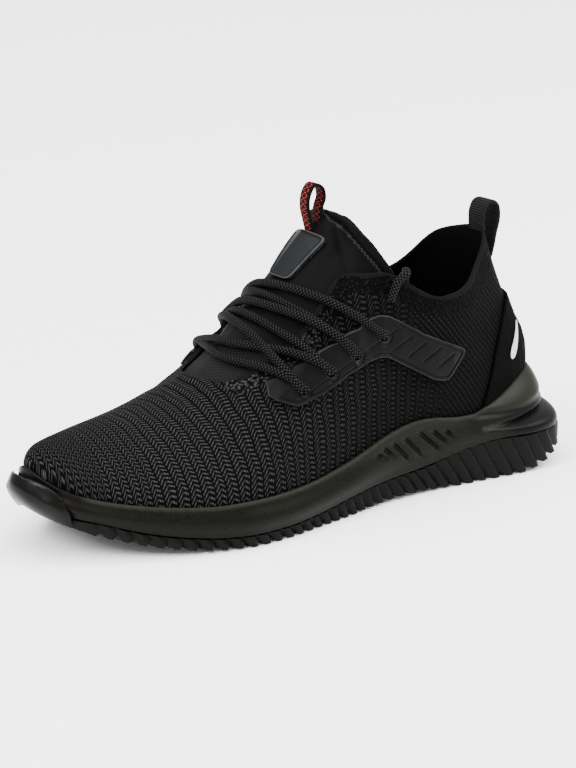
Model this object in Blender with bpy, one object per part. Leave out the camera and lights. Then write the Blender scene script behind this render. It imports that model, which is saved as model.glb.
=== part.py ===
"""Safety sneaker, left shoe, built as its separate pieces.

+X runs to the toe, +Y to the outer (lateral) side and +Z up. The origin is on the floor, in the
middle of the heel's flat land. Every curved piece reads one function of the last, foot_point, whose
columns climb from the footbed to the collar or to the ridge over the instep.
"""

import math

import bmesh
import bpy
import numpy as np

MM = 0.001

# Driving sizes of the shoe
SOLE_LENGTH = 300 * MM
BALL_WIDTH = 110 * MM
HEEL_OVERHANG = 12.5 * MM
TOE_OVERHANG = 2.5 * MM
UPPER_LENGTH = SOLE_LENGTH - HEEL_OVERHANG - TOE_OVERHANG
TONGUE_HEIGHT = 136.4 * MM
HEEL_CUP_HEIGHT = 46 * MM
HEEL_STACK = 28 * MM
TOE_SPRING = 21 * MM
TOE_TUCK = 3.0 * MM
RIB_HEIGHT = 19.5 * MM
FLAT_SPOT_ALONG = 0.2

# Walls, gaps and small sizes
FIT_GAP = 0.3 * MM
LOOSE_GAP = 1.15 * MM
UPPER_WALL = 2.2 * MM
TONGUE_WALL = 3.6 * MM
FEATHER_TUCK = 2.0 * MM
MIDSOLE_LIP = 1.8 * MM
MIDSOLE_BELLY = 2.0 * MM
INSOLE_THICKNESS = 4.5 * MM
RIB_PITCH = 7.4 * MM
RIB_DEPTH = 2.2 * MM
RIB_LEAN = 3.5 * MM
GROOVE_DEPTH = 2.2 * MM
OVERLAY_THICKNESS = 2.0 * MM
COUNTER_THICKNESS = 1.4 * MM
BACKSTAY_RISE = 1.8 * MM
STRIP_THICKNESS = 0.5 * MM
BUMPER_THICKNESS = 2.8 * MM
LACE_RADIUS = 2.0 * MM
EYELET_RADIUS = 2.6 * MM
BADGE_THICKNESS = 2.0 * MM
WEBBING_THICKNESS = 1.6 * MM
TONGUE_LOOP_WIDTH = 7.0 * MM
HEEL_LOOP_WIDTH = 11.5 * MM

FLAT_SPOT_X = FLAT_SPOT_ALONG * SOLE_LENGTH


class Table:
    """Rows of shares with named columns, read as a smooth curve over the angle along the shoe."""

    def __init__(self, columns, rows, level=()):
        values = np.array(rows, float)
        self.angles = along_angle(values[:, 0])
        self.columns = {}
        for place, name in enumerate(columns):
            self.columns[name] = (values[:, place], name in level)

    def read(self, name, angle):
        values, level = self.columns[name]
        return smooth_read(self.angles, values, angle, level)


def along_angle(share):
    """The angle, 0 at the heel and pi at the toe, of a share of the length."""
    return np.arccos(1 - 2 * np.clip(np.asarray(share, float), 0, 1))


def smooth_read(places, values, wanted, level=False):
    """A cubic through the rows that doesn't swing past them; level ends suit heights."""
    steps = np.diff(places)
    slopes = np.diff(values) / steps
    tangents = np.zeros(len(places))
    same_way = slopes[:-1] * slopes[1:] > 0
    before = 2 * steps[1:] + steps[:-1]
    after = steps[1:] + 2 * steps[:-1]
    safe_a = np.where(same_way, slopes[:-1], 1)
    safe_b = np.where(same_way, slopes[1:], 1)
    tangents[1:-1] = np.where(same_way, (before + after) / (before / safe_a + after / safe_b), 0)
    if not level:
        tangents[0] = slopes[0]
        tangents[-1] = slopes[-1]
    wanted = np.clip(np.asarray(wanted, float), places[0], places[-1])
    row = np.clip(np.searchsorted(places, wanted, side="right") - 1, 0, len(places) - 2)
    part = (wanted - places[row]) / steps[row]
    rise = values[row + 1] - values[row]
    curve_a = tangents[row] * steps[row]
    curve_b = tangents[row + 1] * steps[row]
    return (
        values[row]
        + curve_a * part
        + (3 * rise - 2 * curve_a - curve_b) * part**2
        + (curve_a + curve_b - 2 * rise) * part**3
    )


# The rim where the upper leaves the sole: sides in ball widths, rim in cup heights, bed in stacks
RIM = Table(
    ("along", "lateral", "medial", "rim", "bed"),
    (
        (0.00, 0.000, 0.000, 1.00, 1.00),
        (0.01, 0.109, -0.105, 1.00, 1.00),
        (0.03, 0.172, -0.168, 0.99, 1.00),
        (0.06, 0.218, -0.214, 0.96, 1.00),
        (0.10, 0.268, -0.259, 0.89, 0.99),
        (0.15, 0.309, -0.291, 0.79, 0.97),
        (0.22, 0.350, -0.305, 0.735, 0.92),
        (0.30, 0.377, -0.300, 0.83, 0.82),
        (0.36, 0.377, -0.295, 0.85, 0.73),
        (0.41, 0.382, -0.300, 0.75, 0.67),
        (0.47, 0.400, -0.327, 0.60, 0.59),
        (0.54, 0.432, -0.373, 0.51, 0.52),
        (0.60, 0.455, -0.414, 0.468, 0.49),
        (0.67, 0.473, -0.455, 0.457, 0.47),
        (0.75, 0.464, -0.473, 0.467, 0.49),
        (0.81, 0.423, -0.459, 0.49, 0.53),
        (0.86, 0.364, -0.415, 0.52, 0.60),
        (0.91, 0.282, -0.350, 0.565, 0.70),
        (0.95, 0.200, -0.257, 0.62, 0.83),
        (0.98, 0.105, -0.160, 0.71, 0.96),
        (1.00, -0.045, -0.045, 0.88, 1.12),
    ),
    level=("rim", "bed"),
)

# The top of each column: length shares, ball widths, tongue heights, the medial side's rise over
# the lateral one, then how full the curve is
TOP = Table(
    ("along", "back", "lateral", "medial", "height", "rise", "low_out", "low_up", "high_out", "high_up"),
    (
        (0.000, 0.080, 0.000, 0.000, 0.854, 0.000, 0.061, 0.36, 0.050, 0.39),
        (0.020, 0.088, 0.059, -0.082, 0.843, 0.006, 0.061, 0.36, 0.055, 0.39),
        (0.050, 0.102, 0.100, -0.136, 0.817, 0.020, 0.056, 0.36, 0.064, 0.39),
        (0.090, 0.122, 0.136, -0.191, 0.784, 0.040, 0.050, 0.36, 0.073, 0.38),
        (0.140, 0.151, 0.186, -0.241, 0.744, 0.014, 0.043, 0.36, 0.082, 0.38),
        (0.200, 0.188, 0.255, -0.282, 0.704, -0.012, 0.050, 0.36, 0.064, 0.36),
        (0.260, 0.233, 0.300, -0.300, 0.691, -0.015, 0.048, 0.35, 0.050, 0.35),
        (0.310, 0.272, 0.318, -0.309, 0.699, -0.012, 0.048, 0.35, 0.045, 0.35),
        (0.355, 0.307, 0.318, -0.309, 0.726, -0.006, 0.048, 0.35, 0.041, 0.35),
        (0.390, 0.334, 0.311, -0.305, 0.762, 0.000, 0.048, 0.36, 0.036, 0.35),
        (0.420, 0.356, 0.300, -0.300, 0.804, 0.000, 0.045, 0.38, 0.040, 0.34),
        (0.450, 0.382, 0.255, -0.264, 0.880, 0.000, 0.036, 0.42, 0.070, 0.30),
        (0.475, 0.402, 0.182, -0.195, 0.953, 0.000, 0.030, 0.48, 0.110, 0.22),
        (0.490, 0.413, 0.109, -0.118, 0.986, 0.000, 0.025, 0.53, 0.150, 0.14),
        (0.500, 0.418, 0.000, 0.000, 1.000, 0.000, 0.022, 0.57, 0.182, 0.06),
        (0.530, 0.447, -0.009, -0.009, 0.949, 0.000, 0.022, 0.60, 0.182, 0.00),
        (0.570, 0.488, -0.027, -0.027, 0.861, 0.000, 0.032, 0.54, 0.191, 0.00),
        (0.610, 0.530, -0.041, -0.041, 0.759, 0.000, 0.045, 0.50, 0.200, -0.01),
        (0.650, 0.575, -0.050, -0.050, 0.667, 0.000, 0.055, 0.47, 0.209, -0.01),
        (0.690, 0.624, -0.055, -0.055, 0.575, 0.000, 0.064, 0.45, 0.218, -0.01),
        (0.730, 0.674, -0.055, -0.055, 0.509, 0.000, 0.073, 0.43, 0.227, -0.01),
        (0.780, 0.735, -0.055, -0.055, 0.447, 0.000, 0.082, 0.42, 0.236, -0.01),
        (0.830, 0.798, -0.059, -0.059, 0.411, 0.000, 0.073, 0.42, 0.218, -0.02),
        (0.880, 0.854, -0.068, -0.068, 0.393, 0.000, 0.064, 0.44, 0.182, -0.03),
        (0.930, 0.902, -0.064, -0.064, 0.378, 0.000, 0.055, 0.50, 0.145, -0.04),
        (0.970, 0.934, -0.052, -0.052, 0.372, 0.000, 0.050, 0.60, 0.127, -0.04),
        (1.000, 0.948, -0.045, -0.045, 0.364, 0.000, 0.050, 0.66, 0.118, -0.04),
    ),
    level=("back", "height", "rise", "low_out", "low_up", "high_out", "high_up"),
)

# The sole's widest edge: sides in ball widths, floor in toe springs, joint in rib heights
EDGE = Table(
    ("along", "lateral", "medial", "floor", "joint", "flare"),
    (
        (0.000, 0.000, 0.000, 0.594, 1.00, 1.0),
        (0.010, 0.155, -0.145, 0.589, 1.00, 1.0),
        (0.025, 0.259, -0.236, 0.552, 1.00, 1.0),
        (0.050, 0.345, -0.305, 0.462, 1.00, 1.0),
        (0.080, 0.386, -0.336, 0.326, 1.00, 1.0),
        (0.120, 0.400, -0.355, 0.136, 1.00, 1.0),
        (0.160, 0.393, -0.355, 0.018, 1.03, 0.9),
        (0.180, 0.387, -0.350, 0.000, 1.04, 0.7),
        (0.220, 0.377, -0.345, 0.000, 1.00, 0.3),
        (0.280, 0.364, -0.327, 0.000, 0.85, 0.0),
        (0.340, 0.357, -0.314, 0.034, 0.66, 0.0),
        (0.400, 0.364, -0.314, 0.063, 0.60, 0.0),
        (0.460, 0.391, -0.336, 0.034, 0.53, 0.0),
        (0.520, 0.425, -0.373, 0.000, 0.43, 0.0),
        (0.580, 0.459, -0.414, 0.000, 0.33, 0.0),
        (0.640, 0.491, -0.459, 0.000, 0.29, 0.0),
        (0.700, 0.503, -0.491, 0.000, 0.29, 0.0),
        (0.760, 0.477, -0.505, 0.033, 0.33, 0.0),
        (0.820, 0.423, -0.477, 0.120, 0.44, 0.0),
        (0.880, 0.341, -0.405, 0.280, 0.62, 0.0),
        (0.930, 0.250, -0.314, 0.480, 0.86, 0.0),
        (0.970, 0.145, -0.200, 0.700, 1.00, 0.0),
        (0.990, 0.050, -0.118, 0.860, 1.15, 0.0),
        (1.000, -0.045, -0.045, 1.000, 1.30, 0.0),
    ),
    level=("floor", "joint", "flare"),
)

# The midsole's side from the joint up to the rim, as heel_out, heel_up, fore_out, fore_up and
# belly: out is 1 at the sole's edge and 0 at the lip
SIDE_ROWS = (
    (1.00, 0.00, 1.00, 0.00, 0.0),
    (1.00, 0.12, 1.00, 0.14, 0.3),
    (0.90, 0.22, 0.98, 0.28, 0.8),
    (0.62, 0.29, 0.94, 0.42, 1.0),
    (0.38, 0.31, 0.84, 0.56, 0.8),
    (0.50, 0.40, 0.66, 0.69, 0.4),
    (0.46, 0.62, 0.42, 0.81, 0.1),
    (0.24, 0.86, 0.18, 0.92, 0.0),
    (0.00, 1.00, 0.00, 1.00, 0.0),
)

# Where each column of the upper ends: a station along the base, its station on the edge, how far up
OPENING_ROWS = (
    (0.000, 0.000, 1.00),
    (0.200, 0.200, 1.00),
    (0.380, 0.385, 1.00),
    (0.420, 0.425, 1.00),
    (0.455, 0.455, 0.86),
    (0.490, 0.490, 0.70),
    (0.530, 0.530, 0.59),
    (0.580, 0.575, 0.57),
    (0.630, 0.620, 0.60),
    (0.670, 0.660, 0.64),
    (0.700, 0.690, 0.69),
    (0.720, 0.710, 0.745),
    (0.740, 0.724, 0.81),
    (0.755, 0.731, 0.88),
    (0.770, 0.735, 0.94),
    (0.785, 0.737, 1.00),
    (0.850, 0.826, 1.00),
    (1.000, 1.000, 1.00),
)
THROAT_FRONT = 0.785

# Breaks along the shoe, and the columns from each to the next
STATION_SHARES = (0.0, 0.10, 0.40, 0.70, 0.785)
STATION_COUNTS = (5, 7, 8, 5, 9)
UPPER_ROWS = 9


# The collar's edge ends and the ridge begins at this station; the instep is slimmer on the medial side
PEAK = float(along_angle(0.5))
MEDIAL_LESS_OUT = 0.3
MEDIAL_MORE_UP = 0.04


def foot_point(theta, up):
    """The last's outer surface. theta is the angle along, below 0 on the medial side; up is 0 to 1."""
    theta, up = np.broadcast_arrays(np.asarray(theta, float), np.asarray(up, float))
    base = rim_outline(theta) - plan_normal(rim_outline, theta) * FEATHER_TUCK
    base[..., 2] = bed_height(theta) + FIT_GAP
    top = top_point(theta)
    outward = plan_normal(rim_outline, theta)
    climb = (top[..., 2] - base[..., 2])[..., None]
    upward = np.array([0.0, 0.0, 1.0])
    angle = np.abs(theta)
    slim = np.clip((angle - 1.2) / 0.5, 0, 1) * np.clip((math.pi - angle) / 0.35, 0, 1)
    slim = np.where(theta < 0, slim, 0)

    def handle(out_name, up_name, sign, less_out, more_up):
        out = TOP.read(out_name, angle) * (1 - slim * less_out) * BALL_WIDTH
        rise = (TOP.read(up_name, angle) + slim * more_up)[..., None] * climb
        return outward * out[..., None] + upward * rise * sign

    low = base + handle("low_out", "low_up", 1, 0, 0)
    high = top + handle("high_out", "high_up", -1, MEDIAL_LESS_OUT, MEDIAL_MORE_UP)
    part = up[..., None]
    left = 1 - part
    return base * left**3 + 3 * low * left**2 * part + 3 * high * left * part**2 + top * part**3


def side_value(table, theta):
    lateral = table.read("lateral", np.abs(theta))
    medial = table.read("medial", np.abs(theta))
    return np.where(theta >= 0, lateral, medial) * BALL_WIDTH


def rim_outline(theta):
    along = (1 - np.cos(theta)) / 2
    x = HEEL_OVERHANG + along * UPPER_LENGTH
    return np.stack([x, side_value(RIM, theta), np.zeros_like(x)], -1)


def edge_outline(theta):
    along = (1 - np.cos(theta)) / 2
    x = along * SOLE_LENGTH
    return np.stack([x, side_value(EDGE, theta), np.zeros_like(x)], -1)


def foot_edge(theta):
    """The sole's edge at the floor, tucked under at the toe."""
    share = (1 - np.cos(theta)) / 2
    tuck = np.clip((share - 0.93) / 0.06, 0, 1) * TOE_TUCK
    point = edge_outline(theta) - plan_normal(edge_outline, theta) * tuck[..., None]
    point[..., 2] = floor_height(theta)
    return point


def top_point(theta):
    """The collar's edge behind the tongue's peak, and the ridge, shared by both sides, before it."""
    back = TOP.read("back", np.abs(theta)) * UPPER_LENGTH + HEEL_OVERHANG
    rise = np.where(theta < 0, TOP.read("rise", np.abs(theta)), 0)
    height = (TOP.read("height", np.abs(theta)) + rise) * TONGUE_HEIGHT
    ridge = TOP.read("lateral", np.abs(theta)) * BALL_WIDTH
    sideways = np.where(np.abs(theta) < PEAK - 1e-9, side_value(TOP, theta), ridge)
    return np.stack([back, sideways, height], -1)


def plan_normal(outline, theta):
    """The outline's outward direction, seen from above."""
    step = 0.01
    tangent = outline(wrapped(theta + step)) - outline(wrapped(theta - step))
    normal = np.stack([-tangent[..., 1], tangent[..., 0], np.zeros_like(theta)], -1)
    return normal / np.linalg.norm(normal, axis=-1, keepdims=True)


def wrapped(theta):
    return (theta + math.pi) % (2 * math.pi) - math.pi


def rim_height(theta):
    return RIM.read("rim", np.abs(theta)) * HEEL_CUP_HEIGHT


def bed_height(theta):
    return RIM.read("bed", np.abs(theta)) * HEEL_STACK


def floor_height(theta):
    return EDGE.read("floor", np.abs(theta)) * TOE_SPRING


def joint_height(theta):
    return EDGE.read("joint", np.abs(theta)) * RIB_HEIGHT


def foot_normal(theta, up):
    """The last's outward normal, the same on both sides where they meet on the ridge."""
    theta, up = np.broadcast_arrays(np.asarray(theta, float), np.asarray(up, float))
    toe_line = np.abs(theta) > math.pi - 0.001
    up = np.where(toe_line, np.minimum(up, 0.97), up)
    on_ridge = ~toe_line & (np.abs(theta) >= PEAK - 1e-9)
    normal = one_side_normal(theta, up)
    both = unit(normal + one_side_normal(-theta, up))
    return np.where((on_ridge & (up >= 1 - 1e-9))[..., None], both, normal)


def one_side_normal(theta, up):
    step = 0.012
    along = foot_point(wrapped(theta + step), up) - foot_point(wrapped(theta - step), up)
    climb = foot_point(theta, np.minimum(up + step, 1)) - foot_point(theta, np.maximum(up - step, 0))
    return unit(np.cross(climb, along))


def unit(vectors):
    return vectors / np.linalg.norm(vectors, axis=-1, keepdims=True)


def foot_offset(theta, up, out):
    """A point a distance out from the last's surface, or inside it when out is below 0."""
    return foot_point(theta, up) + foot_normal(theta, up) * np.asarray(out)[..., None]


# Rounds of halving, which find a place to far less than a hundredth of a millimetre
HALVINGS = 30


def up_at_height(theta, height):
    """How far up each column reaches a height, found by halving."""
    low = np.zeros_like(theta)
    high = np.full_like(theta, 0.7)
    for _ in range(HALVINGS):
        middle = (low + high) / 2
        below = foot_point(theta, middle)[..., 2] < height
        low = np.where(below, middle, low)
        high = np.where(below, high, middle)
    return (low + high) / 2


# The grid of places that a search on the last starts from, its first and last angle and rise, and the
# small step that its slopes are taken over
SEARCH_ANGLES = (0.25, math.pi - 0.25, 60)
SEARCH_RISES = (0.05, 1.0, 50)
SEARCH_ROUNDS = 6
SLOPE_STEP = 0.004


def locate(target, direction, side):
    """The (theta, up) where a line through the target meets the last on the side +1 or -1."""
    first = unit(np.cross(direction, SIDE_VIEW_UP))
    second = np.cross(direction, first)
    angles = np.linspace(*SEARCH_ANGLES)
    grid_theta, grid_up = np.meshgrid(angles * side, np.linspace(*SEARCH_RISES), indexing="ij")
    away = foot_point(grid_theta, grid_up) - target
    misses = np.hypot(away @ first, away @ second)
    row, column = np.unravel_index(np.argmin(misses), misses.shape)
    theta, up = grid_theta[row, column], grid_up[row, column]
    nudge = SLOPE_STEP
    for _ in range(SEARCH_ROUNDS):
        here = foot_point(theta, up)
        by_theta = (foot_point(theta + nudge, up) - here) / nudge
        by_up = (foot_point(theta, up - nudge) - here) / -nudge
        miss = np.array([(target - here) @ first, (target - here) @ second])
        slopes = np.array([[by_theta @ first, by_up @ first], [by_theta @ second, by_up @ second]])
        change = np.clip(np.linalg.solve(slopes, miss), -0.1, 0.1)
        theta = theta + float(change[0])
        up = min(up + float(change[1]), 1.0)
    return theta, up


SIDE_VIEW = np.array([0.0, 1.0, 0.0])
SIDE_VIEW_UP = np.array([0.1, 0.0, 1.0])


# The upper's back and its toe, as shares of the length that the side view was read against
READ_HEEL = 0.0416667
READ_TOE = 0.9916667


def side_view_x(along):
    """The place of a share of the side view's length, which goes with the upper's length."""
    return HEEL_OVERHANG + (along - READ_HEEL) / (READ_TOE - READ_HEEL) * UPPER_LENGTH


def side_view_share(length):
    return length / UPPER_LENGTH * (READ_TOE - READ_HEEL)


def locate_in_side_view(along, height, side):
    """The (theta, up) at shares of the side view's length and the tongue's height."""
    target = np.array([side_view_x(along), 0.0, height * TONGUE_HEIGHT])
    return locate(target, SIDE_VIEW, side)


def linear_colour(code):
    """An sRGB hex colour as linear red, green and blue."""
    parts = [int(code[place : place + 2], 16) / 255 for place in (1, 3, 5)]
    return [part / 12.92 if part <= 0.04045 else ((part + 0.055) / 1.055) ** 2.4 for part in parts]


def material(name, colour, roughness):
    made = bpy.data.materials.get(name)
    if made is None:
        made = bpy.data.materials.new(name)
        made.use_nodes = True
        shader = made.node_tree.nodes["Principled BSDF"]
        shader.inputs["Base Color"].default_value = (*linear_colour(colour), 1)
        shader.inputs["Roughness"].default_value = roughness
    return made


MATERIALS = {
    "knit": ("#1b1b1c", 0.9),
    "neoprene": ("#161617", 0.75),
    "moulded_tpu": ("#202021", 0.45),
    "nubuck": ("#0d0d0e", 0.85),
    "reflective": ("#b4b4b4", 0.35),
    "foam": ("#272822", 0.55),
    "rubber": ("#1d1d1c", 0.5),
    "gloss_rubber": ("#191a1a", 0.25),
    "badge": ("#3a3f40", 0.4),
    "webbing": ("#141415", 0.8),
    "fleck_webbing": ("#2a1512", 0.8),
    "lace": ("#19191a", 0.75),
    "insole": ("#121213", 0.9),
}


def add_solid(name, points, faces, look):
    """A closed mesh object from points in metres behind the heel's frame, faces turned outward."""
    mesh = bpy.data.meshes.new(name)
    shifted = np.asarray(points) - np.array([FLAT_SPOT_X, 0.0, 0.0])
    mesh.from_pydata(shifted.tolist(), [], faces)
    work = bmesh.new()
    work.from_mesh(mesh)
    bmesh.ops.remove_doubles(work, verts=work.verts, dist=1e-6)
    bmesh.ops.dissolve_degenerate(work, edges=work.edges, dist=1e-6)
    bmesh.ops.recalc_face_normals(work, faces=work.faces)
    if work.calc_volume(signed=True) < 0:
        bmesh.ops.reverse_faces(work, faces=work.faces)
    work.to_mesh(mesh)
    work.free()
    mesh.shade_smooth()
    mesh.set_sharp_from_angle(angle=math.radians(35))
    mesh.materials.append(material(look, *MATERIALS[look]))
    obj = bpy.data.objects.new(name, mesh)
    bpy.context.scene.collection.objects.link(obj)
    return obj


class Shape:
    """Points and faces gathered as they are made."""

    def __init__(self):
        self.points = []
        self.faces = []

    def add(self, points):
        """Adds points of any grid shape and returns their numbers in the same shape."""
        points = np.asarray(points, float)
        start = len(self.points)
        self.points.extend(points.reshape(-1, 3).tolist())
        return np.arange(start, len(self.points)).reshape(points.shape[:-1])

    def quads(self, grid, closed=False):
        """Faces over a grid of numbers; closed joins its last row to its first."""
        rows = range(len(grid) if closed else len(grid) - 1)
        for row in rows:
            after = (row + 1) % len(grid)
            for column in range(grid.shape[1] - 1):
                self.faces.append(
                    (
                        int(grid[row, column]),
                        int(grid[after, column]),
                        int(grid[after, column + 1]),
                        int(grid[row, column + 1]),
                    )
                )

    def solid(self, name, look):
        return add_solid(name, self.points, self.faces, look)


def station_angles():
    angles = []
    stops = (*STATION_SHARES[1:], 1.0)
    for start, count, stop in zip(STATION_SHARES, STATION_COUNTS, stops):
        first, last = along_angle(start), along_angle(stop)
        angles += [first + (last - first) * step / count for step in range(count)]
    return np.array(angles + [math.pi])


def around(angles):
    """The closed loop of stations: up the lateral side to the toe and back down the medial side."""
    return np.concatenate([angles, -angles[-2:0:-1]])


def across_strips(shape, loop, count):
    """Joins each station's lateral point to its medial one; count is the stations on a side."""
    total = len(loop)
    for place in range(count - 1):
        far = (total - place) % total
        farther = total - place - 1
        corners = [int(loop[place]), int(loop[place + 1]), int(loop[farther]), int(loop[far])]
        shape.faces.append(tuple(dict.fromkeys(corners)))


def opening_at(base_angles):
    """For each base station, the station on the opening's edge and how far up it lies."""
    rows = np.array(OPENING_ROWS)
    shares = (1 - np.cos(base_angles)) / 2
    ends = smooth_read(rows[:, 0], rows[:, 1], shares)
    ups = smooth_read(rows[:, 0], rows[:, 2], shares)
    ups = np.where(shares >= THROAT_FRONT - 1e-6, 1.0, ups)
    return along_angle(ends), ups


def build_upper():
    """One knitted wall, open underneath and at the collar and throat as one opening."""
    base = station_angles()
    ends, ups = opening_at(base)
    loop_base, loop_ends = around(base), around(ends)
    loop_ups = np.concatenate([ups, ups[-2:0:-1]])
    climb = np.linspace(0, 1, UPPER_ROWS + 1)
    theta = loop_base[:, None] + (loop_ends - loop_base)[:, None] * climb**1.5
    up = loop_ups[:, None] * climb
    shape = Shape()
    outer = shape.add(foot_offset(theta, up, np.zeros_like(up)))
    inner = shape.add(foot_offset(theta, up, np.full_like(up, -UPPER_WALL)))
    shape.quads(outer, closed=True)
    shape.quads(inner, closed=True)
    shape.quads(np.stack([outer[:, 0], inner[:, 0]], 1), closed=True)
    front = int(np.argmin(np.abs((1 - np.cos(base)) / 2 - THROAT_FRONT)))
    edge = np.concatenate([np.arange(len(theta) - front, len(theta)), np.arange(front + 1)])
    shape.quads(np.stack([outer[edge, -1], inner[edge, -1]], 1))
    return shape.solid("upper", "knit")


def shell_patch(angles, lows, highs, rows, inner_out, outer_out, sides=(1, -1), ridge=True):
    """A closed solid between two offsets of the last, over stations on one or both sides."""
    shape = Shape()
    climb = np.linspace(0, 1, rows + 1)
    up = lows[:, None] + (highs - lows)[:, None] * climb
    for side in sides:
        theta = np.broadcast_to((angles * side)[:, None], up.shape)
        outer = shape.add(foot_offset(theta, up, outer_out(angles[:, None] * side, up)))
        inner = shape.add(foot_offset(theta, up, inner_out(angles[:, None] * side, up)))
        shape.quads(outer)
        shape.quads(inner)
        shape.quads(np.stack([outer[:, 0], inner[:, 0]], 1))
        shape.quads(np.stack([outer[0], inner[0]], 1))
        shape.quads(np.stack([outer[-1], inner[-1]], 1))
        open_top = angles <= PEAK + 1e-9 if ridge else angles <= math.pi
        top = np.flatnonzero(open_top)
        shape.quads(np.stack([outer[top, -1], inner[top, -1]], 1))
    return shape


TONGUE_ROWS = (
    (0.420, 0.80),
    (0.455, 0.68),
    (0.490, 0.54),
    (0.530, 0.44),
    (0.580, 0.42),
    (0.620, 0.44),
    (0.660, 0.48),
    (0.690, 0.53),
    (0.715, 0.59),
    (0.740, 0.66),
    (0.765, 0.73),
    (0.790, 0.80),
)
TONGUE_STATIONS = (
    *(0.42, 0.44, 0.46, 0.48, 0.49, 0.5, 0.52),
    *(0.545, 0.575, 0.61, 0.65, 0.69, 0.74, 0.79),
)
TONGUE_FREE = 0.22


def tongue_depth(theta, up):
    """How far under the last's surface the tongue lies: below the knit, then out to the surface."""
    share = (1 - np.cos(np.abs(theta))) / 2
    rows = np.array(OPENING_ROWS)
    edge_shares, order = np.unique(rows[:, 1], return_index=True)
    edge_up = np.interp(share, edge_shares, rows[order, 2])
    free = np.clip((up - edge_up - 0.04) / TONGUE_FREE, 0, 1)
    free = free * np.clip((0.715 - share) / 0.06, 0, 1) * np.clip((share - 0.43) / 0.03, 0, 1)
    return -(UPPER_WALL + LOOSE_GAP) * (1 - free * free * (3 - 2 * free))


def build_tongue():
    angles = along_angle(np.array(TONGUE_STATIONS))
    rows = np.array(TONGUE_ROWS)
    lows = np.interp(TONGUE_STATIONS, rows[:, 0], rows[:, 1])
    highs = np.ones_like(lows)
    shape = shell_patch(
        angles,
        lows,
        highs,
        7,
        lambda theta, up: tongue_depth(theta, up) - TONGUE_WALL,
        tongue_depth,
    )
    return shape.solid("tongue", "neoprene")


def side_profile(theta):
    """The sole's side at each station, from the joint up to the lip's outer corner."""
    edge = edge_outline(theta)
    up = up_at_height(theta, rim_height(theta))
    out = (FIT_GAP + MIDSOLE_LIP) * plan_normal(rim_outline, theta)
    lip = foot_point(theta, up) + out
    flare = EDGE.read("flare", np.abs(theta))
    joint, rim = joint_height(theta), rim_height(theta)
    points = []
    swell = plan_normal(edge_outline, theta) * ((1 - flare) * MIDSOLE_BELLY)[..., None]
    for heel_out, heel_up, fore_out, fore_up, belly in SIDE_ROWS:
        share = fore_out + (heel_out - fore_out) * flare
        rise = fore_up + (heel_up - fore_up) * flare
        point = lip + (edge - lip) * share[..., None] + swell * belly
        point[..., 2] = joint + (rim - joint) * rise
        points.append(point)
    return np.stack(points, -2)


def inside_wall(theta, height, gap):
    """A point a gap outside the upper's outer surface, at a height."""
    up = up_at_height(theta, height)
    point = foot_point(theta, up) + plan_normal(rim_outline, theta) * gap
    point[..., 2] = height
    return point


def build_midsole():
    """The foam tray: flared ledge and cup at the heel, plain rounded wall at the forefoot."""
    angles = station_angles()
    theta = around(angles)
    rim, bed = rim_height(theta), bed_height(theta)
    lip = inside_wall(theta, rim, FIT_GAP)
    middle = inside_wall(theta, (rim + bed) / 2, FIT_GAP)
    corner = inside_wall(theta, bed + FIT_GAP, FIT_GAP)
    corner[..., 2] = bed
    shape = Shape()
    wall = np.concatenate([side_profile(theta), np.stack([lip, middle, corner], 1)], 1)
    grid = shape.add(wall)
    shape.quads(grid, closed=True)
    across_strips(shape, grid[:, 0], len(angles))
    across_strips(shape, grid[:, -1], len(angles))
    return shape.solid("midsole", "foam")


RIB_PITCHES = ((0.0, 1.05), (0.2, 1.15), (0.4, 0.8), (0.55, 0.85), (0.7, 1.0), (1.0, 1.0))
RIB_PHASES = ((0.0, 1.0, 1.0), (0.30, 0.0, 0.0), (0.68, 0.35, 0.0))
BAR_SHARES = ((0.0, 0.0, 1.0), (0.4, 3.0, 0.0), (0.6, 3.0, 0.0), (1.0, 0.0, 1.0))
RIBS_END = 0.955
OUTLINE_STEPS = 1500


def rib_angles():
    """The angle, inset share and groove share of each rib column from the heel to the toe."""
    fine = np.linspace(0, math.pi, OUTLINE_STEPS)
    lateral, medial = edge_outline(fine), edge_outline(-fine)
    steps = np.linalg.norm(np.diff(lateral, axis=0), axis=1)
    steps = (steps + np.linalg.norm(np.diff(medial, axis=0), axis=1)) / 2
    pitches = np.array(RIB_PITCHES)
    share = (1 - np.cos((fine[1:] + fine[:-1]) / 2)) / 2
    pitch = np.interp(share, pitches[:, 0], pitches[:, 1]) * RIB_PITCH
    count = np.concatenate([[0], np.cumsum(steps / pitch)])
    ribs = round(count[-1])
    places = []
    for rib in range(ribs):
        for phase, inset, groove in RIB_PHASES:
            angle = np.interp((rib + phase) / ribs * count[-1], count, fine)
            places.append((float(angle), inset, groove))
    places.append((math.pi, 1.0, 1.0))
    return np.array(places)


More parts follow.
